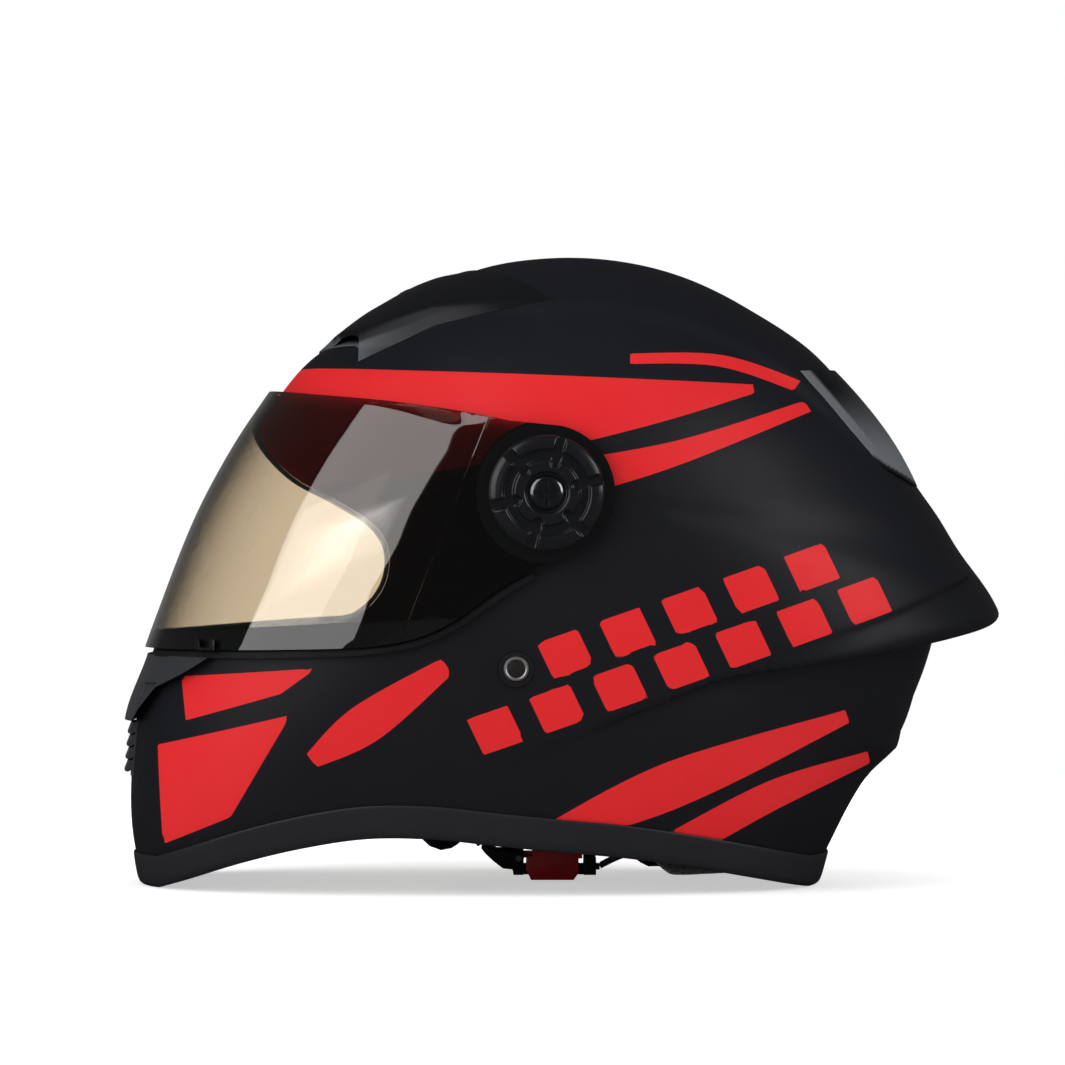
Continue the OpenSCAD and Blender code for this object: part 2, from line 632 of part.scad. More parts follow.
// Chin straps: points of the middle line, with the direction of the width at each
buckle_y = -9; // middle of the buckle
tongue_z = buckle_h - 7; // middle of the tongue
tongue_t = 2;
tongue_out = buckle_y + buckle_l / 2 + 1.5; // outer end of the tongue
base_z = tongue_z - 2.8; // the frame hangs a little over the floor
front_y = buckle_y - buckle_l / 2;
back_y = buckle_y + buckle_l / 2;
lever_y = front_y + 15; // axis of the lever pin
lever_z = buckle_h - 3.2;
barrel_r = 2.2; // barrel of the lever around the pin
plate_y = lever_y + 5.5; // front edge of the thumb plate
plate_l = back_y - 5.5 - plate_y;
pin_r = 1.2;
barrel_l = buckle_w - 12;
skirt_z = 1.2; // lower edge of the lever's skirts
strap_hang = anchor_x - anchor_t - 1.6;
left_route = [[[strap_hang, rivet_y, rivet_z - 24], [0, 1, 0]], [[strap_hang - 3, -19, 52], [0, 1, 0]],
  [[96, -21, 36], [0, 1, 0]], [[87, -27, 24.5], [0.1, 1, 0]], [[70, -36, 23], [0.3, 1, 0]],
  [[48, -45, 23.5], [0.4, 1, 0]], [[28, -50, 24], [-0.1, 1, 0]], [[12, -49, 23.5], [-1, 1, 0]],
  [[3, -44, 21.5], [-1, 0.2, 0]],
  [[0, front_y - 4, buckle_h + 5], [-1, 0, 0]], [[0, front_y - 0.4, buckle_h + 1.6], [-1, 0, 0]]];
right_route = [[[-strap_hang, rivet_y, rivet_z - 24], [0, 1, 0]], [[3 - strap_hang, -17, 52], [0, 1, 0]],
  [[-96, -14, 37], [0, 1, 0]], [[-86, -8, 24], [0.1, 1, 0]], [[-68, 4, 21], [0.3, 1, 0]],
  [[-46, 20, 19], [0.4, 1, 0]], [[-27, 33, 18], [0.1, 1, 0]], [[-11, 38, 16], [-0.8, 1, 0]],
  [[-2, 32, 13], [-1, 0.2, 0]],
  [[0, tongue_out + 6, tongue_z + 3.2], [-1, 0, 0]], [[0, tongue_out + slack, tongue_z + 0.4], [-1, 0, 0]]];
function strap_ring(route, i) = let (last = len(route) - 1,
    along = unit(route[min(last, i + 1)][0] - route[max(0, i - 1)][0]),
    flat = unit(cross(along, route[i][1])), wide = unit(cross(flat, along)))
  [for (c = [[1, 1], [-1, 1], [-1, -1], [1, -1]])
    route[i][0] + wide * c[0] * strap_w / 2 + flat * c[1] * strap_t / 2];
module strap(route) tube([for (i = [0:len(route) - 1]) strap_ring(route, i)]);
module strap_left() color(cloth_black) strap(left_route);
module strap_right() color(cloth_black) strap(right_route);

// Buckle by the floor, its length along Y
block_y = front_y + 17; // back of the front block
module buckle_frame() color(plastic_black) difference() {
  union() {
    // front block with a nose that slopes down
    rotate([90, 0, 90]) linear_extrude(buckle_w, center = true) polygon([[front_y, buckle_h + 1],
      [front_y + 1.5, buckle_h - 1], [front_y + 5, buckle_h - 4.3], [front_y + 8.8, base_z + 2.6],
      [front_y + 12.6, base_z + 2.2], [front_y + 13, base_z], [block_y, base_z], [block_y, buckle_h],
      [front_y + 6, buckle_h], [front_y + 2.5, buckle_h + 2.6]]);
    translate([-buckle_w / 2 + 4, front_y + 13, base_z]) cube([buckle_w - 8, buckle_l - 15, 1.7]);
    translate([-buckle_w / 2, back_y - 5, base_z]) cube([buckle_w, 5, 7.2]);
  }
  // slot for the tongue
  translate([-tongue_w / 2 - 0.1, front_y + 8, tongue_z - tongue_t / 2 - 0.1])
    cube([tongue_w + 0.2, buckle_l, tongue_t + 0.2]);
  // room for the lever between the cheeks of the front block
  translate([-buckle_w / 2 + 3, front_y + 10.5, tongue_z + tongue_t / 2 + 0.5])
    cube([buckle_w - 6, buckle_l, buckle_h]);
  translate([0, lever_y, lever_z]) rotate([0, 90, 0])
    cylinder(r = pin_r + fit, h = big, center = true, $fn = 32);
}

module buckle_lever() color(livery_red) difference() {
  union() {
    translate([0, lever_y, lever_z]) rotate([0, 90, 0])
      cylinder(r = barrel_r, h = barrel_l, center = true, $fn = 48);
    translate([-barrel_l / 2, lever_y, lever_z]) cube([barrel_l, plate_y - lever_y + 1, barrel_r]);
    // broad thumb plate with a skirt on each side
    translate([-buckle_w / 2, plate_y, lever_z]) cube([buckle_w, plate_l, buckle_h - lever_z]);
    for (side = [-1, 1]) translate([side * (buckle_w / 2 - 1.5), 0, 0]) rotate([90, 0, 90])
      linear_extrude(3, center = true) polygon([[block_y + 1, 5.5], [block_y + 3, skirt_z],
        [plate_y + plate_l - 3.5, skirt_z], [plate_y + plate_l - 1.5, 4],
        [plate_y + plate_l - 1.5, lever_z + 1], [block_y + 1, lever_z + 1]]);
  }
  translate([0, lever_y, lever_z]) rotate([0, 90, 0])
    cylinder(r = pin_r + fit, h = big, center = true, $fn = 32);
}

module lever_pin() color(steel) translate([0, lever_y, lever_z]) rotate([0, 90, 0])
  cylinder(r = pin_r, h = buckle_w + 0.6, center = true, $fn = 32);

// The torsion spring winds around the pin beside the barrel
module lever_spring() color(steel) difference() {
  bar(barrel_r - 0.2, barrel_l / 2 + slack, buckle_w / 2 - 3.2, lever_y, lever_z, 32);
  bar(pin_r + fit, 0, buckle_w, lever_y, lever_z, 32);
}

module strap_tongue() color(steel) difference() {
  translate([-tongue_w / 2, front_y + 12, tongue_z - tongue_t / 2])
    cube([tongue_w, tongue_out - front_y - 12, tongue_t]);
  for (i = [0:4]) translate([-tongue_w, front_y + 15 + 3 * i, tongue_z + tongue_t / 2])
    rotate([45, 0, 0]) cube([2 * tongue_w, 1, 1], center = false);
}

outer_shell();
bottom_trim();
eyeport_gasket();
eps_liner();
chin_foam();
crown_pad();
cheek_pad_left();
cheek_pad_right();
neck_roll();
pivot_plate_left();
pivot_plate_right();
plate_screws();
cover_nuts();
visor_lens();
visor_hub_left();
visor_hub_right();
pivot_cover_left();
pivot_cover_right();
cover_screws();
top_vent_cover();
top_vent_slider();
rear_exhaust_cover();
chin_vent_hood();
chin_vent_grille();
chin_vent_shutter();
strap_rivets();
rivet_washers();
strap_anchor_plates();
strap_left();
strap_right();
buckle_frame();
buckle_lever();
lever_pin();
lever_spring();
strap_tongue();
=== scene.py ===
# Full face helmet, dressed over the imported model.
# The face looks along -Y, the wearer's left is +X, up is +Z. Shapes are worked out in millimetres.
import bpy
import bmesh
import numpy as np
from mathutils import Euler, Matrix


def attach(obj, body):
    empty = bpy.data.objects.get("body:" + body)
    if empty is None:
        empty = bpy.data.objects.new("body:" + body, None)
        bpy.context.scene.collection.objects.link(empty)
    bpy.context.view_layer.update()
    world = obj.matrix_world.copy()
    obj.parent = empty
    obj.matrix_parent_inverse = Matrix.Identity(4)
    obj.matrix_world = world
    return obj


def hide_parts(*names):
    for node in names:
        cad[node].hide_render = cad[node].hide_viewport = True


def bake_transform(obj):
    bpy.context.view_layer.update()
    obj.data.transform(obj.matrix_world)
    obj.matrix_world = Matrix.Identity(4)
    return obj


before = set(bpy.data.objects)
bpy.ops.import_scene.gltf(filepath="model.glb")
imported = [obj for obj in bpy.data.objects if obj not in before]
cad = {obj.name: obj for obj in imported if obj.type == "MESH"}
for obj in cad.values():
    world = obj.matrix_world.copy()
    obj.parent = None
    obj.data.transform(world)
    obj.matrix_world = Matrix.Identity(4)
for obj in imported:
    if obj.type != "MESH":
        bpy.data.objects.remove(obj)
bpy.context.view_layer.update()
mm = 0.001
print("packed model loaded,", len(cad), "nodes")


# camera, floor and light
view = {"distance": 2200.0, "lookY": -11.4, "lookZ": 139.9, "lens": 185.3}

cameraData = bpy.data.cameras.new("sideCamera")
cameraData.lens = view["lens"]
cameraData.clip_end = 50
camera = bpy.data.objects.new("sideCamera", cameraData)
camera.location = (view["distance"] * mm, view["lookY"] * mm, view["lookZ"] * mm)
camera.rotation_euler = (np.pi / 2, 0, np.pi / 2)
bpy.context.scene.collection.objects.link(camera)
bpy.context.scene.camera = camera
bpy.context.scene.view_settings.view_transform = "Standard"


def addNode(tree, kind, inputs=None, **settings):  # values are set, sockets are linked
    made = tree.nodes.new(kind)
    for key, value in settings.items():
        setattr(made, key, value)
    for key, value in (inputs or {}).items():
        if isinstance(value, bpy.types.NodeSocket):
            tree.links.new(value, made.inputs[key])
        else:
            made.inputs[key].default_value = value
    return made


def mathNode(tree, operation, first, second=0.0, third=0.0, clamp=False):
    return addNode(tree, "ShaderNodeMath", {0: first, 1: second, 2: third}, operation=operation,
                   use_clamp=clamp).outputs[0]


def times(tree, first, second):
    return mathNode(tree, "MULTIPLY", first, second)


def plus(tree, first, second):
    return mathNode(tree, "ADD", first, second)


def ranged(tree, value, low, high, fromLow=0.0, fromHigh=1.0):
    return addNode(tree, "ShaderNodeMapRange", {"Value": value, "From Min": fromLow, "From Max": fromHigh,
                                                "To Min": low, "To Max": high}).outputs[0]


def softbox(name, place, target, size, power, roll=0.0):
    data = bpy.data.lights.new(name, "AREA")
    data.shape = "RECTANGLE"
    data.size, data.size_y = size
    data.energy = power
    lamp = bpy.data.objects.new(name, data)
    lamp.location = place
    away = np.array(place) - np.array(target)
    away = away / np.linalg.norm(away)
    lamp.rotation_mode = "QUATERNION"
    turned = Euler((np.arccos(away[2]), 0, np.arctan2(away[1], away[0]) + np.pi / 2)).to_matrix()
    lamp.rotation_quaternion = (turned @ Matrix.Rotation(roll, 3, "Z")).to_quaternion()
    bpy.context.scene.collection.objects.link(lamp)
    return lamp


lamps = {  # place, target and size in metres, then watts
    "topBox": ((0.25, 0.0, 1.5), (0, 0, 0.12), (1.5, 1.5), 6),
    "faceBox": ((0.90, -1.15, 0.72), (0, -0.08, 0.15), (1.3, 1.5), 8.8),  # the visor mirrors it as its bright band
    "backBox": ((0.9, 1.3, 0.65), (0, 0.05, 0.12), (0.9, 0.9), 7.5),
    "chinBox": ((0.8, -1.3, 0.35), (0, -0.1, 0.08), (0.8, 0.8), 2.5),
    "farBox": ((-1.3, 0.2, 0.8), (0, 0, 0.15), (0.9, 0.9), 5)}
for name, settings in lamps.items():
    softbox(name, *settings).visible_glossy = name in ("faceBox", "backBox")

# thin lamps before faceBox, each shorter and narrower, make the soft streak inside the band
streak = {"sizes": ((1.0, 0.17), (0.88, 0.13), (0.75, 0.10), (0.6, 0.07), (0.45, 0.045), (0.3, 0.022)),
          "place": (0.89, -1.12, 0.50), "step": (0.028, 0.026, 0.0), "target": (0, -0.08, 0.15),
          "glow": 0.3, "glowStep": 0.28, "roll": -0.13}
for k, (long, wide) in enumerate(streak["sizes"]):
    softbox("streakBox%d" % k, np.array(streak["place"]) + k * np.array(streak["step"]), streak["target"],
            (long, wide), (streak["glow"] + streak["glowStep"] * k) * long * wide, streak["roll"])


def seenStraight(tree, path):  # 1 for the camera, also straight through the visor
    unbounced = times(tree, mathNode(tree, "LESS_THAN", path.outputs["Diffuse Depth"], 0.5),
                      mathNode(tree, "LESS_THAN", path.outputs["Glossy Depth"], 0.5))
    through = times(tree, path.outputs["Is Transmission Ray"], unbounced)
    return mathNode(tree, "MAXIMUM", path.outputs["Is Camera Ray"], through)


room = {"dim": 0.03, "white": 0.1, "bounced": 0.47}


def buildWorld():
    world = bpy.data.worlds.new("studio")
    bpy.context.scene.world = world
    world.use_nodes = True
    tree = world.node_tree
    tree.nodes.clear()
    path = addNode(tree, "ShaderNodeLightPath")
    # what is mirrored is white behind the helmet and a dim room on the camera's side
    side = addNode(tree, "ShaderNodeSeparateXYZ", {0: addNode(tree, "ShaderNodeTexCoord").outputs["Generated"]})
    behind = times(tree, ranged(tree, side.outputs[0], 1.0, 0.0, -0.96, -0.8),
                   ranged(tree, side.outputs[2], 1.0, 0.0, 0.05, 0.32))
    glossy = path.outputs["Is Glossy Ray"]
    mirrored = times(tree, glossy, plus(tree, times(tree, behind, room["white"]), room["dim"]))
    bounced = times(tree, mathNode(tree, "SUBTRACT", 1.0, glossy), room["bounced"])
    strength = mathNode(tree, "MAXIMUM", plus(tree, mirrored, bounced), seenStraight(tree, path))
    background = addNode(tree, "ShaderNodeBackground", {"Color": (1, 1, 1, 1), "Strength": strength})
    addNode(tree, "ShaderNodeOutputWorld", {"Surface": background.outputs[0]})


buildWorld()

ground = {"radius": 0.95, "corners": 180, "tone": 0.86, "mirroredTone": 0.04, "glow": (0.52, 0.95),
          "reach": (0.22, 0.85)}


def buildFloor():
    mesh = bpy.data.meshes.new("floor")
    turn = np.linspace(0, 2 * np.pi, ground["corners"], endpoint=False)
    edge = ground["radius"] * np.stack([np.cos(turn), np.sin(turn), 0 * turn], -1)
    mesh.from_pydata(edge.tolist(), [], [tuple(range(ground["corners"]))])
    floor = bpy.data.objects.new("floor", mesh)
    bpy.context.scene.collection.objects.link(floor)
    material = bpy.data.materials.new("paleFloor")
    material.use_nodes = True
    tree = material.node_tree
    tree.nodes.clear()
    path = addNode(tree, "ShaderNodeLightPath")
    # the glow makes up for the lamps' light, which fades away from the helmet
    spot = addNode(tree, "ShaderNodeTexCoord").outputs["Object"]
    reach = addNode(tree, "ShaderNodeVectorMath", {0: spot}, operation="LENGTH").outputs["Value"]
    level = ranged(tree, reach, *ground["glow"], *ground["reach"])
    # darker where it is mirrored, as the table's edge would be
    tone = ranged(tree, path.outputs["Is Glossy Ray"], ground["tone"], ground["mirroredTone"])
    lit = addNode(tree, "ShaderNodeBsdfDiffuse", {"Color": tone})
    glow = addNode(tree, "ShaderNodeEmission", {"Color": (1, 1, 1, 1),
                                                "Strength": times(tree, seenStraight(tree, path), level)})
    both = addNode(tree, "ShaderNodeAddShader", {0: lit.outputs[0], 1: glow.outputs[0]})
    addNode(tree, "ShaderNodeOutputMaterial", {"Surface": both.outputs[0]})
    mesh.materials.append(material)


buildFloor()
print("camera, floor and light are set")


# the helmet's skin
helmet = {
    "sideX": 116.0, "sideFlat": 2.2, "squareness": 2.3, "wall": 4.0,
    "crownStep": 3.3, "crownEdge": 8.0, "pivotY": -6.0, "pivotZ": 155.0,
    # radii of the outline from the pivot, every 15 degrees from the back over the crown
    "outline": np.array([144, 128.5, 117.5, 108.5, 102, 97.2, 94.5, 94, 94.2, 96.6, 108.2, 117,
                         131.5, 154, 190, 223.8, 223, 218, 216, 207, 192.5, 172.8, 168, 162]),
    "spoiler": np.array([6.6, 2.8, 1.8, -2, -8, -8, -8, -8, -8, -8, -8, -8, -8, -8, -8, -8, -4, 1, 5, 12, 24, 38,
                         48.5, 26.6], float),
    "spoilerEdge": np.array([[-300, -50], [-75, 33], [0, 60], [66, 84], [140, 96], [185, 105], [700, 208]], float),
    "crownHalf": np.array([[5, 58], [30, 71], [60, 81], [90, 86], [116, 74], [145, 55]], float),
    "bottomFrom": -200.0, "bottomStep": 25.0,
    "bottom": np.array([-8, -5, 3, 11.5, 18, 22, 22, 19.5, 17, 14.5, 10.5, 5.5, -0.5, -7, -12, -16, -20]),
}
power = 2 / helmet["squareness"]
pivot = (helmet["pivotY"], helmet["pivotZ"])


def cubic(p0, p1, p2, p3, t):  # Catmull-Rom between p1 and p2
    return p1 + 0.5 * t * (p2 - p0 + t * (2 * p0 - 5 * p1 + 4 * p2 - p3 + t * (3 * (p1 - p2) + p3 - p0)))


def ease(a, b, value):  # 0 before a, 1 after b, 3t^2 - 2t^3 between
    t = np.clip((value - a) / (b - a), 0, 1)
    return t * t * (3 - 2 * t)


def softMin(a, b, k):  # the smaller of two, rounded over a distance k
    h = np.clip(0.5 + 0.5 * (b - a) / k, 0, 1)
    return b + (a - b) * h - k * h * (1 - h)


def softMax(a, b, k):
    return -softMin(-a, -b, k)


def around(table, a):
    s = np.mod(a, 360) / 15
    i = np.floor(s).astype(int)
    return cubic(*(table[(i + k) % 24] for k in (-1, 0, 1, 2)), s - i)


def bottomLevel(y):
    table = helmet["bottom"]
    s = (y - helmet["bottomFrom"]) / helmet["bottomStep"]
    i = np.floor(s).astype(int)
    return cubic(*(table[np.clip(i + k, 0, len(table) - 1)] for k in (-1, 0, 1, 2)), s - i)


def crownDrop(a, x):  # how far the skin lies under the crown panel beside it
    a = np.mod(a, 360)
    half = np.interp(a, helmet["crownHalf"][:, 0], helmet["crownHalf"][:, 1])
    near = np.where(a > 300, a - 360, a)
    edge = helmet["crownEdge"] / 2
    return (helmet["crownStep"] * ease(-6, 22, near) * (1 - ease(138, 156, near))
            * ease(half - edge, half + edge, np.abs(x)))


def sideways(v, off):  # x = half * cos(v)^(2/squareness), softly held at the flat pivot face
    x = (helmet["sideX"] + helmet["sideFlat"] + off) * np.abs(np.cos(v)) ** power
    return np.sign(np.cos(v)) * softMin(x, helmet["sideX"] + off, 0.8)


def place(x, r, a):
    return np.stack([x, pivot[0] + r * np.cos(np.radians(a)), pivot[1] + r * np.sin(np.radians(a))], -1)


def polar(y, z):  # angle in degrees and distance from the pivot, seen from the side
    return np.degrees(np.arctan2(z - pivot[1], y - pivot[0])), np.hypot(y - pivot[0], z - pivot[1])


def skin(a, v, off=0.0):  # r = sin(v)^(2/squareness) * (outline(a) + off - crownDrop)
    x = sideways(v, off)
    return place(x, np.sin(v) ** power * (around(helmet["outline"], a) + off - crownDrop(a, x)), a)


# distance from the pivot to the spoiler's under edge, along each angle
edgeY = np.linspace(-290, 690, 1400)
edgeZ = np.interp(edgeY, helmet["spoilerEdge"][:, 0], helmet["spoilerEdge"][:, 1])
edgeZ[15:-15] = np.convolve(edgeZ, np.ones(31) / 31, "valid")
edgeAngle, edgeRadius = polar(edgeY, edgeZ)

rim = np.array([[20, 68], [64.4, 83.3], [83.6, 91.3], [115.9, 101.7], [132, 107.4], [158.1, 118.6], [190, 133]])
crease = {"deep": 4.0, "below": 12.0, "lip": 2.6, "lipShare": 0.7, "above": (4, 34)}
tailHollow = {"deep": 3.2, "angle": -8.3, "spread": 4.2}
facet = {"from": (49.5, 41.0), "to": (129.7, 59.5), "height": 1.7, "width": 13.0, "peak": 56.5, "rear": 2.4}


def shellSkin(a, v):
    # r = soft max of the skin and of the spoiler, which ends at its under edge, with two creases worked in
    x = sideways(v, 0)
    share = np.sin(v) ** power
    base = share * (around(helmet["outline"], a) - crownDrop(a, x))
    near = np.where(np.mod(a, 360) > 200, np.mod(a, 360) - 360, np.mod(a, 360))
    edge = np.where(near > 8, 900, np.interp(near, edgeAngle, edgeRadius))
    out = share * (around(helmet["outline"] + helmet["spoiler"], a) - crownDrop(a, x))
    out = out - tailHollow["deep"] * np.exp(-((near - tailHollow["angle"]) / tailHollow["spread"]) ** 2)
    tip = 1.4 + 13.0 * ease(-30, -20, near) * (1 - ease(5, 15, near))
    r = softMax(base, softMin(out, edge, tip), 1.6)
    point = place(x, r, a)
    y, z = point[..., 1], point[..., 2]
    # a crease above the rim of the spoiler: the rim leans out under it, and the skin above comes back slowly
    above = z - np.interp(y, rim[:, 0], rim[:, 1])
    back = (1 - crease["lipShare"] * ease(0, crease["lip"], above)) * (1 - ease(*crease["above"], above))
    fall = np.where(above < 0, np.clip(1 + above / crease["below"], 0, 1), back)
    fall = crease["deep"] * fall * ease(0, 60, y) * ease(12, 50, np.abs(x)) * (near < 0) * (near > -80)
    # a ridge across the lower rear
    (y0, z0), (y1, z1) = facet["from"], facet["to"]
    along = (y - y0) / (y1 - y0)
    apart = np.abs(z - z0 - along * (z1 - z0))
    ridge = facet["height"] * np.clip(along, 0, 1.2) * np.maximum(0, 1 - np.hypot(apart, 1.2) / facet["width"])
    over = z - facet["peak"]
    rear = np.clip(1 - np.where(over < 0, -over / 17, over / 5), 0, 1)
    ridge = (ridge + facet["rear"] * ease(0.8, 1.0, along) * rear) * (near < -15) * (near > -75)
    return place(x, r - fall * share + ridge * share, a)


# mesh building
def newPiece(name, points, faces):
    mesh = bpy.data.meshes.new(name)
    mesh.from_pydata((np.asarray(points, float).reshape(-1, 3) * mm).tolist(), [], faces)
    mesh.update()
    piece = bpy.data.objects.new(name, mesh)
    bpy.context.scene.collection.objects.link(piece)
    return piece


def outward(points, faces):  # turns the faces round if their signed volume is negative
    points = np.asarray(points, float).reshape(-1, 3)
    volume = 0.0
    for size in set(len(f) for f in faces):
        same = np.array([f for f in faces if len(f) == size])
        for k in range(1, size - 1):
            a, b, c = points[same[:, 0]], points[same[:, k]], points[same[:, k + 1]]
            volume += np.einsum("ij,ij->i", a, np.cross(b, c)).sum()
    return faces if volume > 0 else [tuple(f[::-1]) for f in faces]


def gridFaces(rows, columns, wrapColumns=True, wrapRows=False):
    i = np.arange(rows if wrapRows else rows - 1)[:, None]
    j = np.arange(columns if wrapColumns else columns - 1)[None, :]
    i2, j2 = (i + 1) % rows, (j + 1) % columns
    quads = np.stack(np.broadcast_arrays(i * columns + j, i * columns + j2, i2 * columns + j2, i2 * columns + j), -1)
    return [tuple(f) for f in quads.reshape(-1, 4).tolist()]


def closedDome(rings, poles):
    # rings is a grid of rings by angles, closed by one point before the first ring and one after the last
    rows, columns = rings.shape[:2]
    points = np.concatenate([rings.reshape(-1, 3), np.array(poles, float)])
    faces = gridFaces(rows, columns)
    last = rows * columns
    for i in range(columns):
        j = (i + 1) % columns
        faces += [(last, j, i), (last + 1, last - columns + i, last - columns + j)]
    return points, outward(points, faces)


def tube(grid):  # a grid of sections that close on themselves, with a flat face at each end
    rows, columns = grid.shape[:2]
    ends = [tuple(range(columns))[::-1], tuple((rows - 1) * columns + k for k in range(columns))]
    return grid.reshape(-1, 3), outward(grid, gridFaces(rows, columns) + ends)


def patch(top, low):  # a solid between two open grids of the same size, closed around their edges
    rows, columns = top.shape[:2]
    count = rows * columns
    faces = gridFaces(rows, columns, wrapColumns=False)
    faces += [tuple(k + count for k in f[::-1]) for f in faces]
    loop = ([j for j in range(columns)] + [i * columns + columns - 1 for i in range(1, rows)]
            + [count - columns + j for j in range(columns - 2, -1, -1)]
            + [i * columns for i in range(rows - 2, 0, -1)])
    faces += [(there, here, here + count, there + count) for here, there in zip(loop, loop[1:] + loop[:1])]
    points = np.concatenate([top.reshape(-1, 3), low.reshape(-1, 3)])
    return points, outward(points, faces)


def hollow(outer, inner):  # a solid between two closed surfaces
    (outerPoints, outerFaces), (innerPoints, innerFaces) = outer, inner
    step = len(outerPoints)
    turned = [tuple(k + step for k in f[::-1]) for f in innerFaces]
    return np.concatenate([outerPoints, innerPoints]), outerFaces + turned


def sideSteps(count, off):  # rings that start on the edge of the flat pivot face
    first = 0.45 * np.arccos(((helmet["sideX"] + off) / (helmet["sideX"] + helmet["sideFlat"] + off))
                             ** (1 / power))
    return np.concatenate([[first * 0.3, first * 0.65], np.linspace(first, np.pi - first, count),
                           [np.pi - first * 0.65, np.pi - first * 0.3]])


def skinDome(off, angles=240, sides=110):
    a, v = np.meshgrid(np.linspace(0, 360, angles, endpoint=False), sideSteps(sides, off))
    x = helmet["sideX"] + off
    return closedDome(skin(a, v, off), [[x, *pivot], [-x, *pivot]])


def prism(outline, start, end, axis=0):
    # an outline of (y, z) points carried along x, or one of (x, y) points carried up where axis is 2
    outline = np.asarray(outline, float)
    n = len(outline)
    points = np.concatenate([np.insert(outline, axis, start, axis=1), np.insert(outline, axis, end, axis=1)])
    faces = [(i, (i + 1) % n, n + (i + 1) % n, n + i) for i in range(n)]
    faces += [tuple(range(n))[::-1], tuple(range(n, 2 * n))]
    return points, outward(points, faces)


def rectangle(y0, y1, z0, z1):
    return [[y0, z0], [y1, z0], [y1, z1], [y0, z1]]


def bar(y, z, radius, x0, x1, sides=64):
    turn = np.linspace(0, 2 * np.pi, sides, endpoint=False)
    return prism(np.stack([y + radius * np.cos(turn), z + radius * np.sin(turn)], -1), x0, x1)


def joined(*solids):
    points, faces, step = [], [], 0
    for p, f in solids:
        points.append(p)
        faces += [tuple(k + step for k in face) for face in f]
        step += len(p)
    return np.concatenate(points), faces


def settle(piece):  # makes the modifiers' result the piece's own mesh
    mesh = bpy.data.meshes.new_from_object(piece.evaluated_get(bpy.context.evaluated_depsgraph_get()))
    piece.modifiers.clear()
    old = piece.data
    mesh.name = old.name
    piece.data = mesh
    bpy.data.meshes.remove(old)


def modify(piece, kind, **settings):
    change = piece.modifiers.new(kind.lower(), kind)
    for key, value in settings.items():
        setattr(change, key, value)


def carve(piece, solid, operation="DIFFERENCE"):
    tool = newPiece("tool", *solid)
    modify(piece, "BOOLEAN", operation=operation, solver="MANIFOLD", object=tool)
    settle(piece)
    bpy.data.objects.remove(tool)


def finish(piece, look, body, nodes, sharp=35, bevel=0, bevelAngle=40):
    material, slot = finishes[look]
    if bevel:
        modify(piece, "BEVEL", width=bevel * mm, segments=2, limit_method="ANGLE", angle_limit=np.radians(bevelAngle))
        settle(piece)
    mesh = piece.data
    mesh.polygons.foreach_set("use_smooth", np.ones(len(mesh.polygons), bool))
    mesh.set_sharp_from_angle(angle=np.radians(sharp))
    mesh.materials.clear()
    mesh.materials.append(material)
    if nodes:
        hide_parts(*nodes)
    if body:
        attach(piece, body)
    return piece


def coordinates(mesh):
    co = np.zeros(len(mesh.vertices) * 3, np.float32)
    mesh.vertices.foreach_get("co", co)
    return co.reshape(-1, 3) / mm


def solidOf(piece):
    return coordinates(piece.data), [tuple(p.vertices) for p in piece.data.polygons]


def mark(piece, name, values):  # one value on each point, for the materials
    piece.data.attributes.new(name, "FLOAT", "POINT").data.foreach_set("value", values.astype(np.float32))


def smoothLine(points, steps=8):  # Catmull-Rom through points
    points = np.asarray(points, float)
    last = len(points) - 1
    t = np.linspace(0, 1, steps, endpoint=False)[:, None]
    rows = [cubic(*(points[min(max(i + k, 0), last)] for k in (-1, 0, 1, 2)), t) for i in range(last)]
    return np.concatenate([*rows, points[-1:]])


# materials
def newMaterial(name, colour, roughness, **sockets):
    material = bpy.data.materials.new(name)
    material.use_nodes = True
    tree = material.node_tree
    tree.nodes.clear()
    shader = addNode(tree, "ShaderNodeBsdfPrincipled", {"Base Color": colour, "Roughness": roughness})
    for key, value in sockets.items():
        shader.inputs[key.replace("_", " ")].default_value = value
    addNode(tree, "ShaderNodeOutputMaterial", {"Surface": shader.outputs[0]})
    return material, tree, shader


def attribute(tree, name, output="Fac"):
    return addNode(tree, "ShaderNodeAttribute", attribute_name=name).outputs[output]


def objectSpot(tree):
    return addNode(tree, "ShaderNodeTexCoord").outputs["Object"]


def noise(tree, scale, detail=2.0, rough=0.5):
    return addNode(tree, "ShaderNodeTexNoise", {"Vector": objectSpot(tree), "Scale": scale,
                                                "Detail": detail, "Roughness": rough}).outputs["Fac"]


def bump(tree, shader, height, strength, distance):
    made = addNode(tree, "ShaderNodeBump", {"Height": height, "Strength": strength, "Distance": distance})
    tree.links.new(made.outputs[0], shader.inputs["Normal"])


def mixColours(tree, factor, first, second):
    made = addNode(tree, "ShaderNodeMix", data_type="RGBA")
    for socket, value in ((made.inputs["Factor"], factor), (made.inputs[6], first), (made.inputs[7], second)):
        if isinstance(value, bpy.types.NodeSocket):
            tree.links.new(value, socket)
        else:
            socket.default_value = value
    return made.outputs[2]


def linear(red, green, blue):  # screen colour, 0 to 255, to a light value with full cover
    c = np.array([red, green, blue]) / 255
    return (*np.where(c <= 0.04045, c / 12.92, ((c + 0.055) / 1.055) ** 2.4), 1.0)


def shade(colour, share):
    return (*(share * c for c in colour[:3]), 1.0)


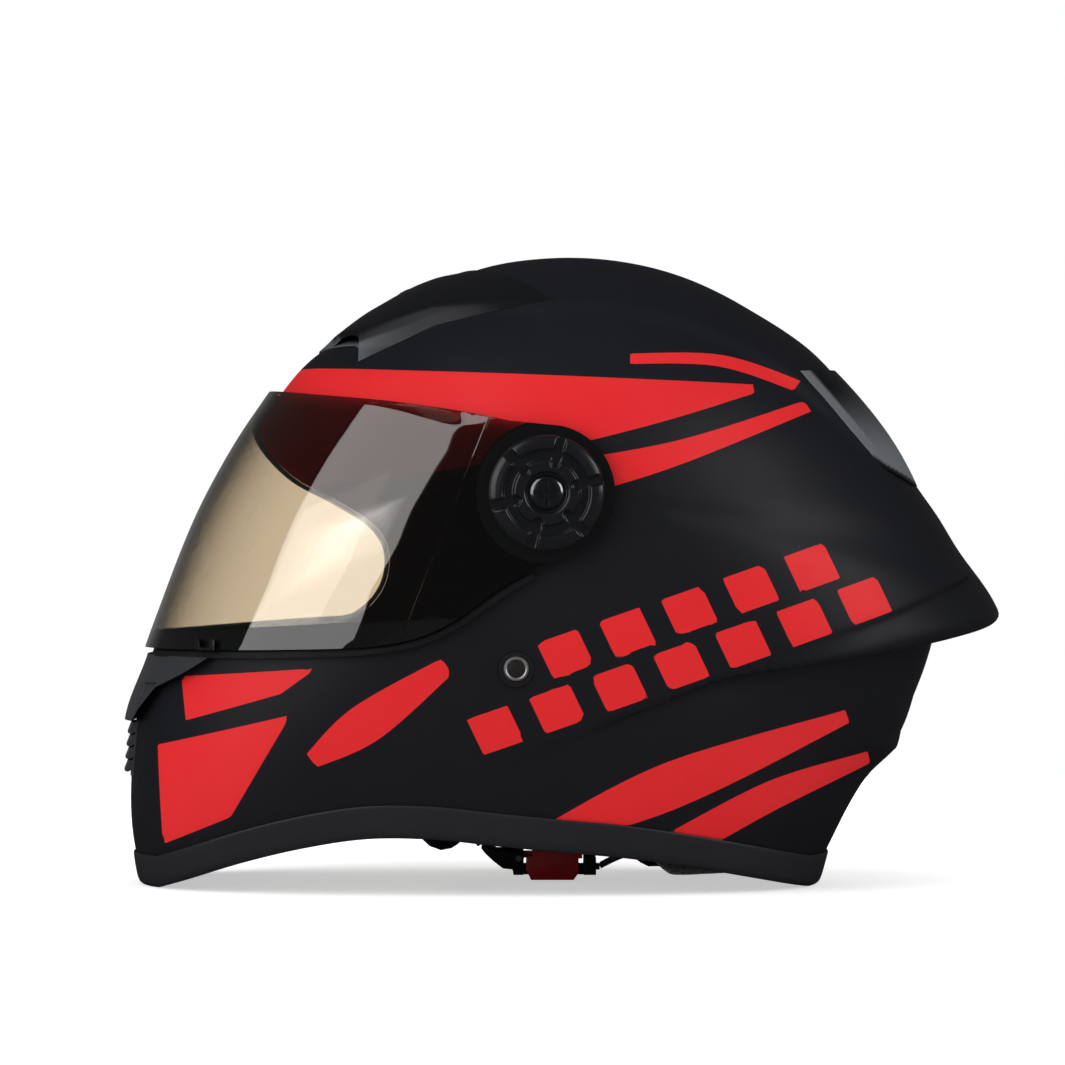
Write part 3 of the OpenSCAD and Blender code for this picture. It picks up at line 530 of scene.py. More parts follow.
def paintMaterial():  # matte lacquer over the livery
    material, tree, shader = newMaterial("mattePaint", linear(20, 22, 26), 0.46, Specular_IOR_Level=0.26)
    cover = mathNode(tree, "MULTIPLY_ADD", attribute(tree, "livery"), 6.0, 0.5, clamp=True)
    cloud = noise(tree, 24.0, 3.0)
    black = mixColours(tree, cloud, linear(21, 22, 27), linear(25, 26, 32))
    red = mixColours(tree, cloud, linear(219, 27, 32), linear(228, 34, 38))
    tree.links.new(mixColours(tree, cover, black, red), shader.inputs["Base Color"])
    tree.links.new(ranged(tree, noise(tree, 90.0, 4.0), 0.42, 0.52), shader.inputs["Roughness"])
    bump(tree, shader, noise(tree, 1400.0, 2.0), 0.06, 0.0004)
    return material


def plasticMaterial(name, colour, low, high, grain=0.05, coat=0.0):
    material, tree, shader = newMaterial(name, colour, (low + high) / 2, Coat_Weight=coat, Coat_Roughness=0.06)
    tree.links.new(ranged(tree, noise(tree, 60.0, 5.0, 0.6), low, high), shader.inputs["Roughness"])
    tree.links.new(mixColours(tree, noise(tree, 35.0, 3.0), colour, shade(colour, 0.86)), shader.inputs["Base Color"])
    bump(tree, shader, noise(tree, 900.0, 3.0), grain, 0.0003)
    return material


def paintedLightCoverMaterial():  # satin black, with the side facets lightened to grey as a painted highlight
    material, tree, shader = newMaterial("ventCoverPaintedLight", linear(20, 22, 24), 0.36, Specular_IOR_Level=0.25)
    # painted highlight: where the facet attribute is high the colour goes to a light grey
    tree.links.new(mixColours(tree, attribute(tree, "facet"), linear(19, 20, 23), linear(105, 108, 112)),
                   shader.inputs["Base Color"])
    tree.links.new(ranged(tree, noise(tree, 60.0, 5.0, 0.6), 0.32, 0.42), shader.inputs["Roughness"])
    bump(tree, shader, noise(tree, 900.0, 3.0), 0.08, 0.0003)
    return material


def waves(tree, value, period):  # 0 to 1, a full wave each period
    return ranged(tree, mathNode(tree, "SINE", times(tree, value, 2 * np.pi / period)), 0.0, 1.0, -1.0, 1.0)


def clothMaterial(name, colour, light, cell, deep):
    # dimpled knit, with two rows of stitches beside each seam
    material, tree, shader = newMaterial(name, colour, 0.92, Sheen_Weight=0.25, Sheen_Roughness=0.5,
                                         Specular_IOR_Level=0.2)
    spot = objectSpot(tree)
    dimple = addNode(tree, "ShaderNodeTexVoronoi", {"Vector": spot, "Scale": 1 / cell, "Randomness": 0.25}).outputs[0]
    knit = ranged(tree, dimple, 0.0, 1.0, 0.15, 0.6)
    plain = mixColours(tree, knit, shade(colour, deep), light)
    plain = mixColours(tree, times(tree, noise(tree, 30.0, 3.0), 0.35), plain, colour)
    seam = attribute(tree, "seam")
    part = addNode(tree, "ShaderNodeSeparateXYZ", {0: spot})
    run = plus(tree, plus(tree, part.outputs[0], part.outputs[1]), part.outputs[2])
    dash = mathNode(tree, "GREATER_THAN", waves(tree, run, 0.0042), 0.35)
    near = mathNode(tree, "LESS_THAN", mathNode(tree, "ABSOLUTE", mathNode(tree, "SUBTRACT", seam, 2.6)), 0.45)
    stitch = times(tree, dash, near)
    fold = mathNode(tree, "LESS_THAN", seam, 0.7)
    sewn = mixColours(tree, fold, plain, shade(colour, 0.35))
    tree.links.new(mixColours(tree, stitch, sewn, linear(96, 96, 99)), shader.inputs["Base Color"])
    height = plus(tree, knit, times(tree, stitch, 1.5))
    bump(tree, shader, mathNode(tree, "SUBTRACT", height, fold), 0.6, 0.0005)
    return material


def webbingMaterial():  # herringbone from the distance along and across the band, in mm
    material, tree, shader = newMaterial("strapWebbing", linear(24, 24, 26), 0.78, Sheen_Weight=0.2,
                                         Specular_IOR_Level=0.25)
    part = addNode(tree, "ShaderNodeSeparateXYZ", {0: attribute(tree, "weave", "Vector")})
    thread = waves(tree, plus(tree, part.outputs[0], mathNode(tree, "PINGPONG", part.outputs[1], 2.2)), 1.3)
    height = times(tree, thread, ranged(tree, waves(tree, part.outputs[1], 1.1), 0.6, 1.0))
    tree.links.new(mixColours(tree, height, linear(14, 14, 15), linear(34, 34, 37)), shader.inputs["Base Color"])
    bump(tree, shader, height, 0.7, 0.0004)
    return material


def foamMaterial():  # moulded beads, each of its own tone, dark between them
    material, tree, shader = newMaterial("foamBeads", linear(44, 44, 46), 0.85, Specular_IOR_Level=0.25)
    beads = {"Vector": objectSpot(tree), "Scale": 290.0}
    body = ranged(tree, addNode(tree, "ShaderNodeTexVoronoi", beads, feature="DISTANCE_TO_EDGE").outputs[0],
                  0.0, 1.0, 0.0, 0.12)
    each = addNode(tree, "ShaderNodeTexVoronoi", beads).outputs["Color"]
    tone = mixColours(tree, each, linear(38, 38, 40), linear(50, 50, 52))
    tree.links.new(mixColours(tree, body, linear(20, 20, 21), tone), shader.inputs["Base Color"])
    bump(tree, shader, body, 0.5, 0.0005)
    return material


def metalMaterial(name, colour, low, high):
    material, tree, shader = newMaterial(name, colour, low, Metallic=1.0)
    tree.links.new(ranged(tree, noise(tree, 140.0, 6.0, 0.7), low, high), shader.inputs["Roughness"])
    bump(tree, shader, noise(tree, 700.0, 2.0), 0.04, 0.0002)
    return material


# places in metres from the pivot: the clear part starts outside the round black patch and above the black lip, and
# the colour turns dark a little before the glass does, so no pale line shows between them
glass = {"patch": (0.0266, 0.0272), "patchColour": (0.0272, 0.0276), "lip": (-0.0459, -0.0454),
         "lipColour": (-0.0454, -0.0450), "lipLean": -0.055, "lineLean": -0.391, "line": 0.0333, "lineHalf": 0.0004}


def visorMaterial():
    # a mirrored tint, darkened outside the face opening as painted shade, black around the pivot and along the lower
    # lip
    tint = linear(249, 236, 215)
    material, tree, shader = newMaterial("tintedVisor", tint, 0.02, Transmission_Weight=1.0, IOR=1.5,
                                         Coat_Weight=1.0, Coat_IOR=1.7, Coat_Roughness=0.02)
    # painted shade: outside the face opening, over the shell, the tint turns darker
    window = ranged(tree, attribute(tree, "window"), 0.0, 1.0, -0.5, 1.5)
    tintWithPaintedShade = mixColours(tree, window, linear(146, 128, 116), tint)
    part = addNode(tree, "ShaderNodeSeparateXYZ", {0: objectSpot(tree)})
    y = mathNode(tree, "SUBTRACT", part.outputs[1], pivot[0] * mm)
    z = mathNode(tree, "SUBTRACT", part.outputs[2], pivot[1] * mm)
    reach = mathNode(tree, "SQRT", plus(tree, times(tree, y, y), times(tree, z, z)))
    # the black lip climbs a little to the back: z - 0.055 y stays the same along its edge
    low = plus(tree, z, times(tree, y, glass["lipLean"]))
    clear, coloured = (times(tree, ranged(tree, reach, 0.0, 1.0, *glass[patchEdge]),
                             ranged(tree, low, 0.0, 1.0, *glass[lipEdge]))
                       for patchEdge, lipEdge in (("patch", "lip"), ("patchColour", "lipColour")))
    tree.links.new(clear, shader.inputs["Transmission Weight"])
    tree.links.new(mixColours(tree, coloured, linear(12, 13, 14), tintWithPaintedShade), shader.inputs["Base Color"])
    # a fine line in the glass leans: y - 0.391 z stays the same along it
    lean = plus(tree, y, times(tree, z, glass["lineLean"]))
    away = mathNode(tree, "ABSOLUTE", plus(tree, lean, glass["line"]))
    line = addNode(tree, "ShaderNodeBump", {"Height": ranged(tree, away, 1.0, 0.0, 0.0, glass["lineHalf"]),
                                            "Strength": 0.25, "Distance": 0.0002}).outputs[0]
    tree.links.new(line, shader.inputs["Normal"])
    tree.links.new(line, shader.inputs["Coat Normal"])
    return material


finishes = {  # each look: its material and its slot
    "paint": (paintMaterial(), "matte_shell"),
    "trim": (plasticMaterial("trimRubber", linear(38, 38, 44), 0.4, 0.52, 0.08), "trim_rubber"),
    "seal": (plasticMaterial("sealRubber", linear(13, 13, 15), 0.6, 0.72, 0.1), "gasket_rubber"),
    "vent": (plasticMaterial("ventPlastic", linear(54, 55, 59), 0.32, 0.42, 0.1), "vent_plastic"),
    "ventCover": (paintedLightCoverMaterial(), "vent_plastic"),
    # the rivets' plug material is dark, as painted shade in their hollow centres
    "shadePlug": (plasticMaterial("rivetShadePlug", linear(30, 26, 23), 0.4, 0.55, 0.08), "inner_plastic"),
    "inner": (plasticMaterial("innerPlastic", linear(24, 24, 26), 0.4, 0.55, 0.1), "inner_plastic"),
    "gloss": (plasticMaterial("glossBlack", linear(22, 23, 26), 0.2, 0.3, 0.03, 0.25), "gloss_black"),
    "red": (plasticMaterial("redPlastic", linear(176, 14, 20), 0.28, 0.4, 0.05), "red_plastic"),
    "steel": (metalMaterial("plainSteel", linear(188, 190, 193), 0.28, 0.42), "steel"),
    "darkChrome": (metalMaterial("darkChrome", linear(120, 124, 130), 0.12, 0.22), "dark_chrome"),
    "rivet": (metalMaterial("rivetChrome", linear(240, 240, 242), 0.36, 0.48), "rivet_chrome"),
    "foam": (foamMaterial(), "foam"),
    "cloth": (clothMaterial("linerCloth", linear(34, 34, 37), linear(44, 44, 48), 0.0012, 0.6), "liner_cloth"),
    "mesh": (clothMaterial("meshCloth", linear(22, 22, 24), linear(38, 38, 41), 0.0026, 0.3), "mesh_cloth"),
    "webbing": (webbingMaterial(), "webbing"),
    "visor": (visorMaterial(), "tinted_visor"),
}
print("materials are made")


# livery, drawn on the side view
def band(upper, lower):  # closed shape between two smooth lines that run the same way
    return np.concatenate([smoothLine(upper), smoothLine(lower)[::-1]])


block, blockStep, rowStep = np.array([[-30, 55], [-14.5, 60.4], [-21, 74], [-36.5, 68.6]]), (23.6, 8.2), (3, 21)

liveryShapes = [
    # long sweeps over the visor, tapering back
    band([[-150, 207], [-92, 204], [-40, 201.5], [20, 199], [74, 197]],
         [[-150, 150], [-70, 160], [-20, 168], [34, 181], [74, 193.5]]),
    band([[-6, 166], [44, 175], [94, 191]], [[-8, 150], [40, 164], [97, 187]]),
    band([[26, 208.5], [62, 208.5], [93, 199]], [[26, 204.5], [60, 204], [90, 195]]),
    # two staggered rows of blocks that climb to the back
    *[block + k * np.array(blockStep) for k in range(7)],
    *[block + k * np.array(blockStep) + rowStep for k in range(1, 6)],
    # wedges on the chin
    np.array([[-148, 84], [-94, 88], [-108, 78], [-146, 67]]),
    np.array([[-158, 57], [-104, 70], [-128, 30], [-156, 18]]),
    band([[-98, 55], [-80, 73], [-46, 92]], [[-94, 50], [-70, 61], [-42, 86]]),
    # lower rear
    band([[-10, 26], [40, 52], [110, 71]], [[-6, 19], [44, 34], [112, 66]]),
    band([[40, 24], [80, 44], [120, 54]], [[52, 16], [84, 33], [122, 49]]),
]


def insideBy(spots, outline):
    # signed distance to a closed outline, positive inside
    best = np.full(len(spots), 1e9)
    inside = np.zeros(len(spots), bool)
    for (y0, z0), (y1, z1) in zip(outline, np.roll(outline, -1, axis=0)):
        ey, ez = y1 - y0, z1 - z0
        length = ey * ey + ez * ez
        if length < 1e-9:
            continue
        t = np.clip(((spots[:, 0] - y0) * ey + (spots[:, 1] - z0) * ez) / length, 0, 1)
        best = np.minimum(best, np.hypot(spots[:, 0] - y0 - t * ey, spots[:, 1] - z0 - t * ez))
        cross = (z0 > spots[:, 1]) != (z1 > spots[:, 1])
        with np.errstate(divide="ignore", invalid="ignore"):
            inside ^= cross & (spots[:, 0] < ey * (spots[:, 1] - z0) / ez + y0)
    return np.where(inside, best, -best)


def paintLivery(piece):
    points = coordinates(piece.data)
    spots = points[:, 1:]
    depth = np.full(len(spots), -50.0)
    for outline in liveryShapes:
        low, high = outline.min(0) - 6, outline.max(0) + 6
        near = np.all((spots > low) & (spots < high), axis=1)
        depth[near] = np.maximum(depth[near], insideBy(spots[near], outline))
    # the inside is plain: its normals point to the middle
    away = points - np.array([0, *pivot])
    normals = np.empty(away.size)
    piece.data.vertex_normals.foreach_get("vector", normals)
    depth[np.einsum("ij,ij->i", normals.reshape(-1, 3), away) < -0.2 * np.linalg.norm(away, axis=1)] = -50
    mark(piece, "livery", depth)


# outlines of the pieces, seen from the side
eyeport = smoothLine([[-122, 187], [-116, 174], [-103, 161], [-86, 152], [-72, 143], [-66, 133], [-67, 121],
                      [-74, 111], [-86, 104.5], [-105, 101.5], [-140, 100]], 6)
eyeport = np.concatenate([[[-230, 192]], eyeport, [[-230, 98.6]]])


def offsetOutline(outline, distance):  # moves each point along the mean of its edges' normals
    nxt, prv = np.roll(outline, -1, axis=0), np.roll(outline, 1, axis=0)
    area = 0.5 * np.sum(outline[:, 0] * nxt[:, 1] - nxt[:, 0] * outline[:, 1])
    ahead, behind = nxt - outline, outline - prv
    ahead /= np.linalg.norm(ahead, axis=1)[:, None]
    behind /= np.linalg.norm(behind, axis=1)[:, None]
    normal = np.stack([ahead[:, 1] + behind[:, 1], -ahead[:, 0] - behind[:, 0]], -1)
    size = np.linalg.norm(normal, axis=1)[:, None]
    return outline + np.sign(area) * distance * 2 * normal / np.maximum(size ** 2, 0.5)


bottomY = np.linspace(-240, 220, 240)


def belowBottom(up):
    level = np.maximum(0, bottomLevel(np.clip(bottomY, -199, 199))) + up
    return np.concatenate([np.stack([bottomY, level], -1), [[220, -200], [-240, -200]]])


rivet = {"y": -17.6, "z": 88.0, "head": 4.75, "washer": 6.9, "washerT": 1.2, "sink": 0.9}
vent = {"half": 27.0, "low": 43.0, "high": 65.0}


def fullness(x, y, z, off):  # (x / half)^squareness + (r / (outline + off))^squareness, 1 on the skin
    a, r = polar(y, z)
    half = helmet["sideX"] + helmet["sideFlat"] + off
    return (np.abs(x) / half) ** helmet["squareness"] + (r / (around(helmet["outline"], a) + off)) \
        ** helmet["squareness"]


def skinWidth(y, z):  # half width of the skin at a place seen from the side
    rest = np.maximum(0, 1 - fullness(0, y, z, 0.0))
    return np.minimum(helmet["sideX"], (helmet["sideX"] + helmet["sideFlat"]) * rest ** (power / 2))


rivet["x"] = float(skinWidth(rivet["y"], rivet["z"]))


def buildShell():
    angles = np.concatenate([np.arange(-66, 4, 0.45), np.arange(4, 294, 0.95)])  # closer over the spoiler
    a, v = np.meshgrid(angles, sideSteps(190, 0))
    outer = closedDome(shellSkin(a, v), [[helmet["sideX"], *pivot], [-helmet["sideX"], *pivot]])
    shell = newPiece("outerShell", *hollow(outer, skinDome(-helmet["wall"], 180, 80)))
    cutters = [prism(eyeport, -150, 150), prism(belowBottom(4.0), -150, 150),
               prism(rectangle(-260, -110, vent["low"], vent["high"]), -vent["half"], vent["half"])]
    for side in (-1, 1):
        ends = sorted([side * (rivet["x"] - rivet["sink"]), side * (rivet["x"] + 20)])
        cutters.append(bar(rivet["y"], rivet["z"], rivet["washer"] + 0.15, *ends))
    carve(shell, joined(*cutters))
    paintLivery(shell)
    print("shell", len(shell.data.vertices), "points")
    finish(shell, "paint", "helmet", ["outer_shell"], sharp=48)


buildShell()


# bottom trim
trim = {"height": 13.0, "steps": 480, "centreY": -25.0, "rearSpread": 3.2, "frontSpread": 1.6}
trimProfile = np.array([
    [0.15, 12.6], [0.3, 12.85], [0.6, 12.95], [0.85, 12.8], [1.0, 12.5], [1.1, 11.8], [1.1, 11.0], [1.1, 8.0],
    [1.1, 5.2], [1.1, 3.4], [1.0, 2.0], [0.7, 0.9], [0.1, 0.25],
    [-0.4, 0.0], [-3.6, 0.0], [-4.8, 0.4], [-5.5, 1.2], [-5.9, 2.4], [-6.0, 3.8], [-6.0, 11.0], [-5.95, 11.8],
    [-5.7, 12.5], [-5.2, 12.9], [-4.7, 13.0], [-4.3, 12.85], [-4.15, 12.5], [-4.15, 4.1], [0.15, 4.1]])


def rimPoint(turn, off, up):
    # on a ray of the plan view, the distance at which the skin stands at the bottom level plus up
    low, high = np.full_like(turn, 20.0), np.full_like(turn, 260.0)
    for _ in range(36):
        far = (low + high) / 2
        x, y = far * np.sin(turn), trim["centreY"] + far * np.cos(turn)
        z = np.maximum(0, bottomLevel(y)) + up
        outside = (fullness(x, y, z, off) > 1) | (np.abs(x) > helmet["sideX"] + off)
        low, high = np.where(outside, low, far), np.where(outside, far, high)
    return np.stack([x, y, z], -1)


def buildTrim():
    turn = np.linspace(0, 2 * np.pi, trim["steps"], endpoint=False)
    foot = 1 - trimProfile[:, 1] / trim["height"]  # it widens a little towards the floor at both ends
    rows = []
    for (off, up), low in zip(trimProfile, foot):
        y = rimPoint(turn, off, up)[:, 1]
        wide = trim["rearSpread"] * ease(40, 100, y) + trim["frontSpread"] * ease(-120, -165, y)
        rows.append(rimPoint(turn, off + wide * low * (off > -2), up))
    grid = np.stack(rows, 1)
    piece = newPiece("bottomTrim", grid, outward(grid, gridFaces(*grid.shape[:2], wrapRows=True)))
    finish(piece, "trim", "helmet", ["bottom_trim"], sharp=50)


buildTrim()


# eyeport seal
def buildSeal():
    seal = newPiece("eyeportSeal", *hollow(skinDome(1.2), skinDome(-5.5)))
    carve(seal, prism(offsetOutline(eyeport, -0.3), -150, 150), "INTERSECT")
    carve(seal, prism(offsetOutline(eyeport, -1.9), -160, 160))
    finish(seal, "seal", "helmet", ["eyeport_gasket"], bevel=0.4)
    # a low lip on the shell, just under the visor's lower edge
    upper = smoothLine([[-160, 93.8], [-110, 94.2], [-70, 96.0], [-46, 102.6], [-24, 117.4], [-12, 124.4]], 6)
    lower = smoothLine([[-10, 123.0], [-22.4, 115.4], [-45, 100.6], [-69, 93.8], [-110, 91.6], [-160, 91.4]], 6)
    lip = newPiece("visorLip", *hollow(skinDome(2.6, 300, 150), skinDome(-0.6, 300, 150)))
    carve(lip, prism(np.concatenate([upper, lower]), -150, 150), "INTERSECT")
    finish(lip, "seal", "helmet", [], bevel=0.5)


buildSeal()
print("shell, trim and seal are built")


# visor
visor = {"gap": 2.4, "thick": 2.2, "ear": 26.0, "bore": 16.15, "tabY": -138.0, "low": 94.5}


def visorOutline():
    upper = smoothLine([[-114.8, 195.8], [-98, 193.7], [-82, 192], [-64, 190], [-40, 186.4], [-20, 182.4]], 6)
    turn = np.radians(np.linspace(78, -72, 40))
    ear = np.stack([pivot[0] + visor["ear"] * np.cos(turn), pivot[1] + visor["ear"] * np.sin(turn)], -1)
    lower = smoothLine([[-8, 127], [-24, 118.5], [-46, 103.5], [-70, 96.8], [-110, 95], [-150, visor["low"]]], 6)
    return np.concatenate([[[-230, 213]], upper, ear, lower, [[-230, visor["low"]]]])


def buildVisor():
    inner, outer = visor["gap"], visor["gap"] + visor["thick"]
    piece = newPiece("visorShield", *hollow(skinDome(outer, 300, 150), skinDome(inner, 300, 150)))
    carve(piece, prism(visorOutline(), -150, 150), "INTERSECT")
    carve(piece, joined(*[bar(*pivot, visor["bore"], *sorted([side * 90, side * 150]), 96) for side in (-1, 1)]))
    finish(piece, "visor", "visor", ["visor_lens"], sharp=20, bevel=0.35)
    mark(piece, "window", insideBy(coordinates(piece.data)[:, 1:], eyeport))


buildVisor()


def buildVisorTab():
    # a small U standing on the lower edge of the left side
    piece = newPiece("visorTab", *hollow(skinDome(visor["gap"] + visor["thick"] + 2.4, 300, 150),
                                         skinDome(visor["gap"] + visor["thick"] - 0.4, 300, 150)))
    y, z = visor["tabY"], visor["low"]
    outline = [[y - 4, z], [y + 4, z], [y + 4, z + 4], [y + 2.4, z + 4.3], [y + 2.0, z + 1.6], [y + 1.4, z + 1.0],
               [y - 1.4, z + 1.0], [y - 2.0, z + 1.6], [y - 2.4, z + 4.3], [y - 4, z + 4]]
    carve(piece, prism(outline, 10, 150), "INTERSECT")
    finish(piece, "gloss", "visor", [], bevel=0.25)


buildVisorTab()
print("visor is built")


# pivot covers and their screws
cover = {"seat": 121.9, "notches": 6, "notchTurn": 14.0, "notchHalf": 1.9, "notchFrom": 11.8, "notchFloor": 2.9,
         "rings": 84, "turns": 360}
coverProfile = np.array([[0, 2.5], [7.4, 2.5], [7.9, 2.7], [8.0, 3.9], [8.3, 4.35], [9.0, 4.55], [10.5, 4.75],
                         [11.9, 4.75], [12.4, 4.45], [12.7, 3.5], [13.1, 3.2], [15.9, 3.0], [16.3, 3.2], [16.5, 4.5],
                         [16.9, 4.95], [17.6, 5.05], [19.6, 4.6], [20.9, 4.1], [21.5, 3.65], [21.9, 2.9],
                         [22.0, 2.2], [22.0, 0.2], [21.2, -0.7]])


def buildCover(side, name, node):
    # x = seat + profile(r), lowered to the notch floor within a notch's half width of its middle line
    span = np.concatenate([[0], np.cumsum(np.hypot(*np.diff(coverProfile, axis=0).T))])
    steps = np.linspace(span[0], span[-1], cover["rings"])[1:]
    r = np.interp(steps, span, coverProfile[:, 0])
    h = np.interp(steps, span, coverProfile[:, 1])
    turn = np.linspace(0, 2 * np.pi, cover["turns"], endpoint=False)
    rr, tt = np.meshgrid(r, turn, indexing="ij")
    hh = np.broadcast_to(h[:, None], rr.shape).copy()
    for k in range(cover["notches"]):
        middle = np.radians(cover["notchTurn"] + 360 / cover["notches"] * k)
        along = np.maximum(rr * np.cos(tt - middle), cover["notchFrom"])
        away = np.hypot(rr * np.cos(tt - middle) - along, rr * np.sin(tt - middle))
        deep = 1 - ease(cover["notchHalf"] - 0.5, cover["notchHalf"] + 0.35, away)
        hh = hh + (np.minimum(hh, cover["notchFloor"]) - hh) * deep
    rings = np.stack([side * (cover["seat"] + hh), pivot[0] + rr * np.cos(tt), pivot[1] + rr * np.sin(tt)], -1)
    poles = [[side * (cover["seat"] + up), *pivot] for up in (2.5, -0.7)]
    finish(newPiece(name, *closedDome(rings, poles)), "gloss", "helmet", [node], sharp=60)


buildCover(1, "pivotCoverLeft", "pivot_cover_left")
buildCover(-1, "pivotCoverRight", "pivot_cover_right")


def revolved(y, z, profile, turns=96):
    # profile of (radius, x) pairs turned around an axis along X, closed on the axis at both ends, on both sides
    profile = np.asarray(profile, float)
    turn = np.linspace(0, 2 * np.pi, turns, endpoint=False)
    r, t = np.meshgrid(profile[1:-1, 0], turn, indexing="ij")
    x = np.broadcast_to(profile[1:-1, 1][:, None], r.shape)
    return joined(*[closedDome(np.stack([side * x, y + r * np.cos(t), z + r * np.sin(t)], -1),
                               [[side * profile[0, 1], y, z], [side * profile[-1, 1], y, z]]) for side in (-1, 1)])


def buildCoverScrews():
    seat = cover["seat"] + 2.5
    profile = [[0, 109], [2.5, 109], [2.5, seat], [6.3, seat], [6.5, seat + 0.2], [6.5, seat + 0.8],
               [6.2, seat + 1.2], [5.2, seat + 1.6], [3.6, seat + 1.9], [1.8, seat + 2.05], [0, seat + 2.1]]
    piece = newPiece("coverScrews", *revolved(*pivot, profile, 128))
    y, z = pivot
    for side in (-1, 1):
        ends = sorted([side * (seat + 0.6), side * (seat + 6)])
        for wide, tall in ((4.6, 0.75), (0.75, 4.6)):
            carve(piece, prism(rectangle(y - wide, y + wide, z - tall, z + tall), *ends))
    finish(piece, "darkChrome", "helmet", ["cover_screws"], bevel=0.12)


buildCoverScrews()


def buildRivets():
    seat = rivet["x"] - rivet["sink"] + rivet["washerT"]
    r = rivet["head"]
    profile = [[0, seat - 18], [2.4, seat - 18], [2.4, seat - 0.05], [r, seat - 0.05], [r, seat + 0.6],
               [r - 0.1, seat + 1.15], [r - 0.35, seat + 1.5], [r - 0.75, seat + 1.6], [r - 1.1, seat + 1.45],
               [r - 1.3, seat + 1.1], [r - 1.4, seat + 0.5], [1.2, seat + 0.45], [0, seat + 0.45]]
    piece = newPiece("strapRivets", *revolved(rivet["y"], rivet["z"], profile))
    finish(piece, "rivet", "helmet", ["strap_rivets"], sharp=40)
    # painted shade: a dark plug sits in the hollow of each head, standing in for the shade there
    shadePlug = [[0, seat + 0.3], [r - 1.45, seat + 0.3], [r - 1.45, seat + 0.7], [r - 1.7, seat + 0.85],
            [1.0, seat + 0.95], [0, seat + 0.95]]
    centres = newPiece("rivetShadeCentres", *revolved(rivet["y"], rivet["z"], shadePlug))
    finish(centres, "shadePlug", "helmet", [], sharp=40)


buildRivets()
print("covers, screws and rivets are built")


# vents
def slab(aFrom, aTo, vFrom, vTo, height, under=0.0, steps=(120, 160)):
    # closed patch between skin + under and skin + height(y, z, a, x)
    a, v = np.meshgrid(np.linspace(aFrom, aTo, steps[0]), np.radians(np.linspace(vFrom, vTo, steps[1])),
                       indexing="ij")
    base = skin(a, v, 0)
    up = np.maximum(height(base[..., 1], base[..., 2], a, base[..., 0]), under + 0.05)
    return patch(skin(a, v, up), skin(a, v, under))


def carveDuct(piece, solid, outline, half):  # takes away what of the solid is within the outline and half width
    tunnel = newPiece("tunnel", *solid)
    carve(tunnel, prism(outline, -half, half), "INTERSECT")
    carve(piece, solidOf(tunnel))
    bpy.data.objects.remove(tunnel)


ventLine = np.array([[-125, 214], [-99, 209.5], [-79.4, 206.4], [-72.9, 209.6], [-49.8, 220.2], [-22, 226.6],
                     [-2, 230.6], [12, 233]])
# fade: the share of painted highlight the side facet keeps along y, going to none at the rear as painted shade
topVent = {"height": 6.0, "tail": 80.0, "notch": -42.0, "end": -5.0, "curve": 1.6, "ductHalf": 64.0, "ductEnd": -74.0,
           "front": -97.0, "arc": 17.7, "arcHalf": 55.0, "dip": 0.75, "rampFoot": 0.6, "ramp": 10.0,
           "facetWidth": ((-100, -79, -60, -51, -36, -8, 10), (8.4, 7.9, 5.2, 4.7, 4.4, 1.2, 0.6)),
           "fade": ((-79, -72, -66, -60, -55, -49, -43, -37, -28),
                    (0.62, 0.36, 0.22, 0.15, 0.11, 0.08, 0.05, 0.03, 0))}


def ventRise(a, x):
    # height * ease(angle) less a dip towards the middle of the front lip
    dip = topVent["dip"] * ease(133, 149, a) * (1 - ease(20, 50, np.abs(x)))
    return topVent["height"] * ease(92, 140, a) * (1 - dip)


def ventEnd(share):  # y of the cover's rear edge, from the notch in the middle to the ends of the tails
    return topVent["notch"] + (topVent["end"] - topVent["notch"]) * np.abs(share) ** topVent["curve"]


def facetShare(y, z):  # 0 on the cover's lower line and 1 at the top of its side facet, seen from the side
    return (z - np.interp(y, ventLine[:, 0], ventLine[:, 1])) / np.interp(y, *topVent["facetWidth"])


def ventHeight(y, z, a, x):
    # the side facet keeps its width in the side view, and the top comes down to the crown before its rear edge
    ramp = ease(0, topVent["ramp"], ventEnd(x / topVent["tail"]) - y)
    up = ventRise(a, x) * (topVent["rampFoot"] + (1 - topVent["rampFoot"]) * ramp)
    share = facetShare(y, z)
    return softMin(up, 0.3 + (up - 0.3) * share + 0.3 * np.maximum(0, share - 1), 0.4)


def buildTopVent():
    piece = newPiece("topVentCover", *slab(86, 152, 28, 152, ventHeight, 0.1, (200, 300)))
    carve(piece, prism(np.concatenate([ventLine, [[12, 290], [-125, 290]]]), -150, 150), "INTERSECT")
    # the cover ends in two tails, with the crown bare between them, and its front edge is an arc
    across = topVent["tail"] * np.linspace(-1, 1, 41)
    rear = ventEnd(across / topVent["tail"])
    front = topVent["front"] + topVent["arc"] * np.minimum(1, (across / topVent["arcHalf"]) ** 2)
    for edge, far in ((rear, 80), (front, -180)):
        outline = np.concatenate([np.stack([across, edge], -1), [[topVent["tail"], far], [-topVent["tail"], far]]])
        carve(piece, prism(outline, 150, 300, axis=2))
    duct = slab(112, 156, 32, 148, lambda *spot: ventHeight(*spot) - 2.0, 0.5, (60, 160))
    carveDuct(piece, duct, rectangle(-160, topVent["ductEnd"], 150, 300), topVent["ductHalf"])
    finish(piece, "ventCover", "helmet", ["top_vent_cover"], bevel=0.25)
    # painted highlight on the side facet, fading to painted shade towards the rear
    points = coordinates(piece.data)
    side = 1.0 - ease(0.88, 1.06, facetShare(points[:, 1], points[:, 2]))
    mark(piece, "facet", side * np.interp(points[:, 1], *topVent["fade"]))

buildTopVent()

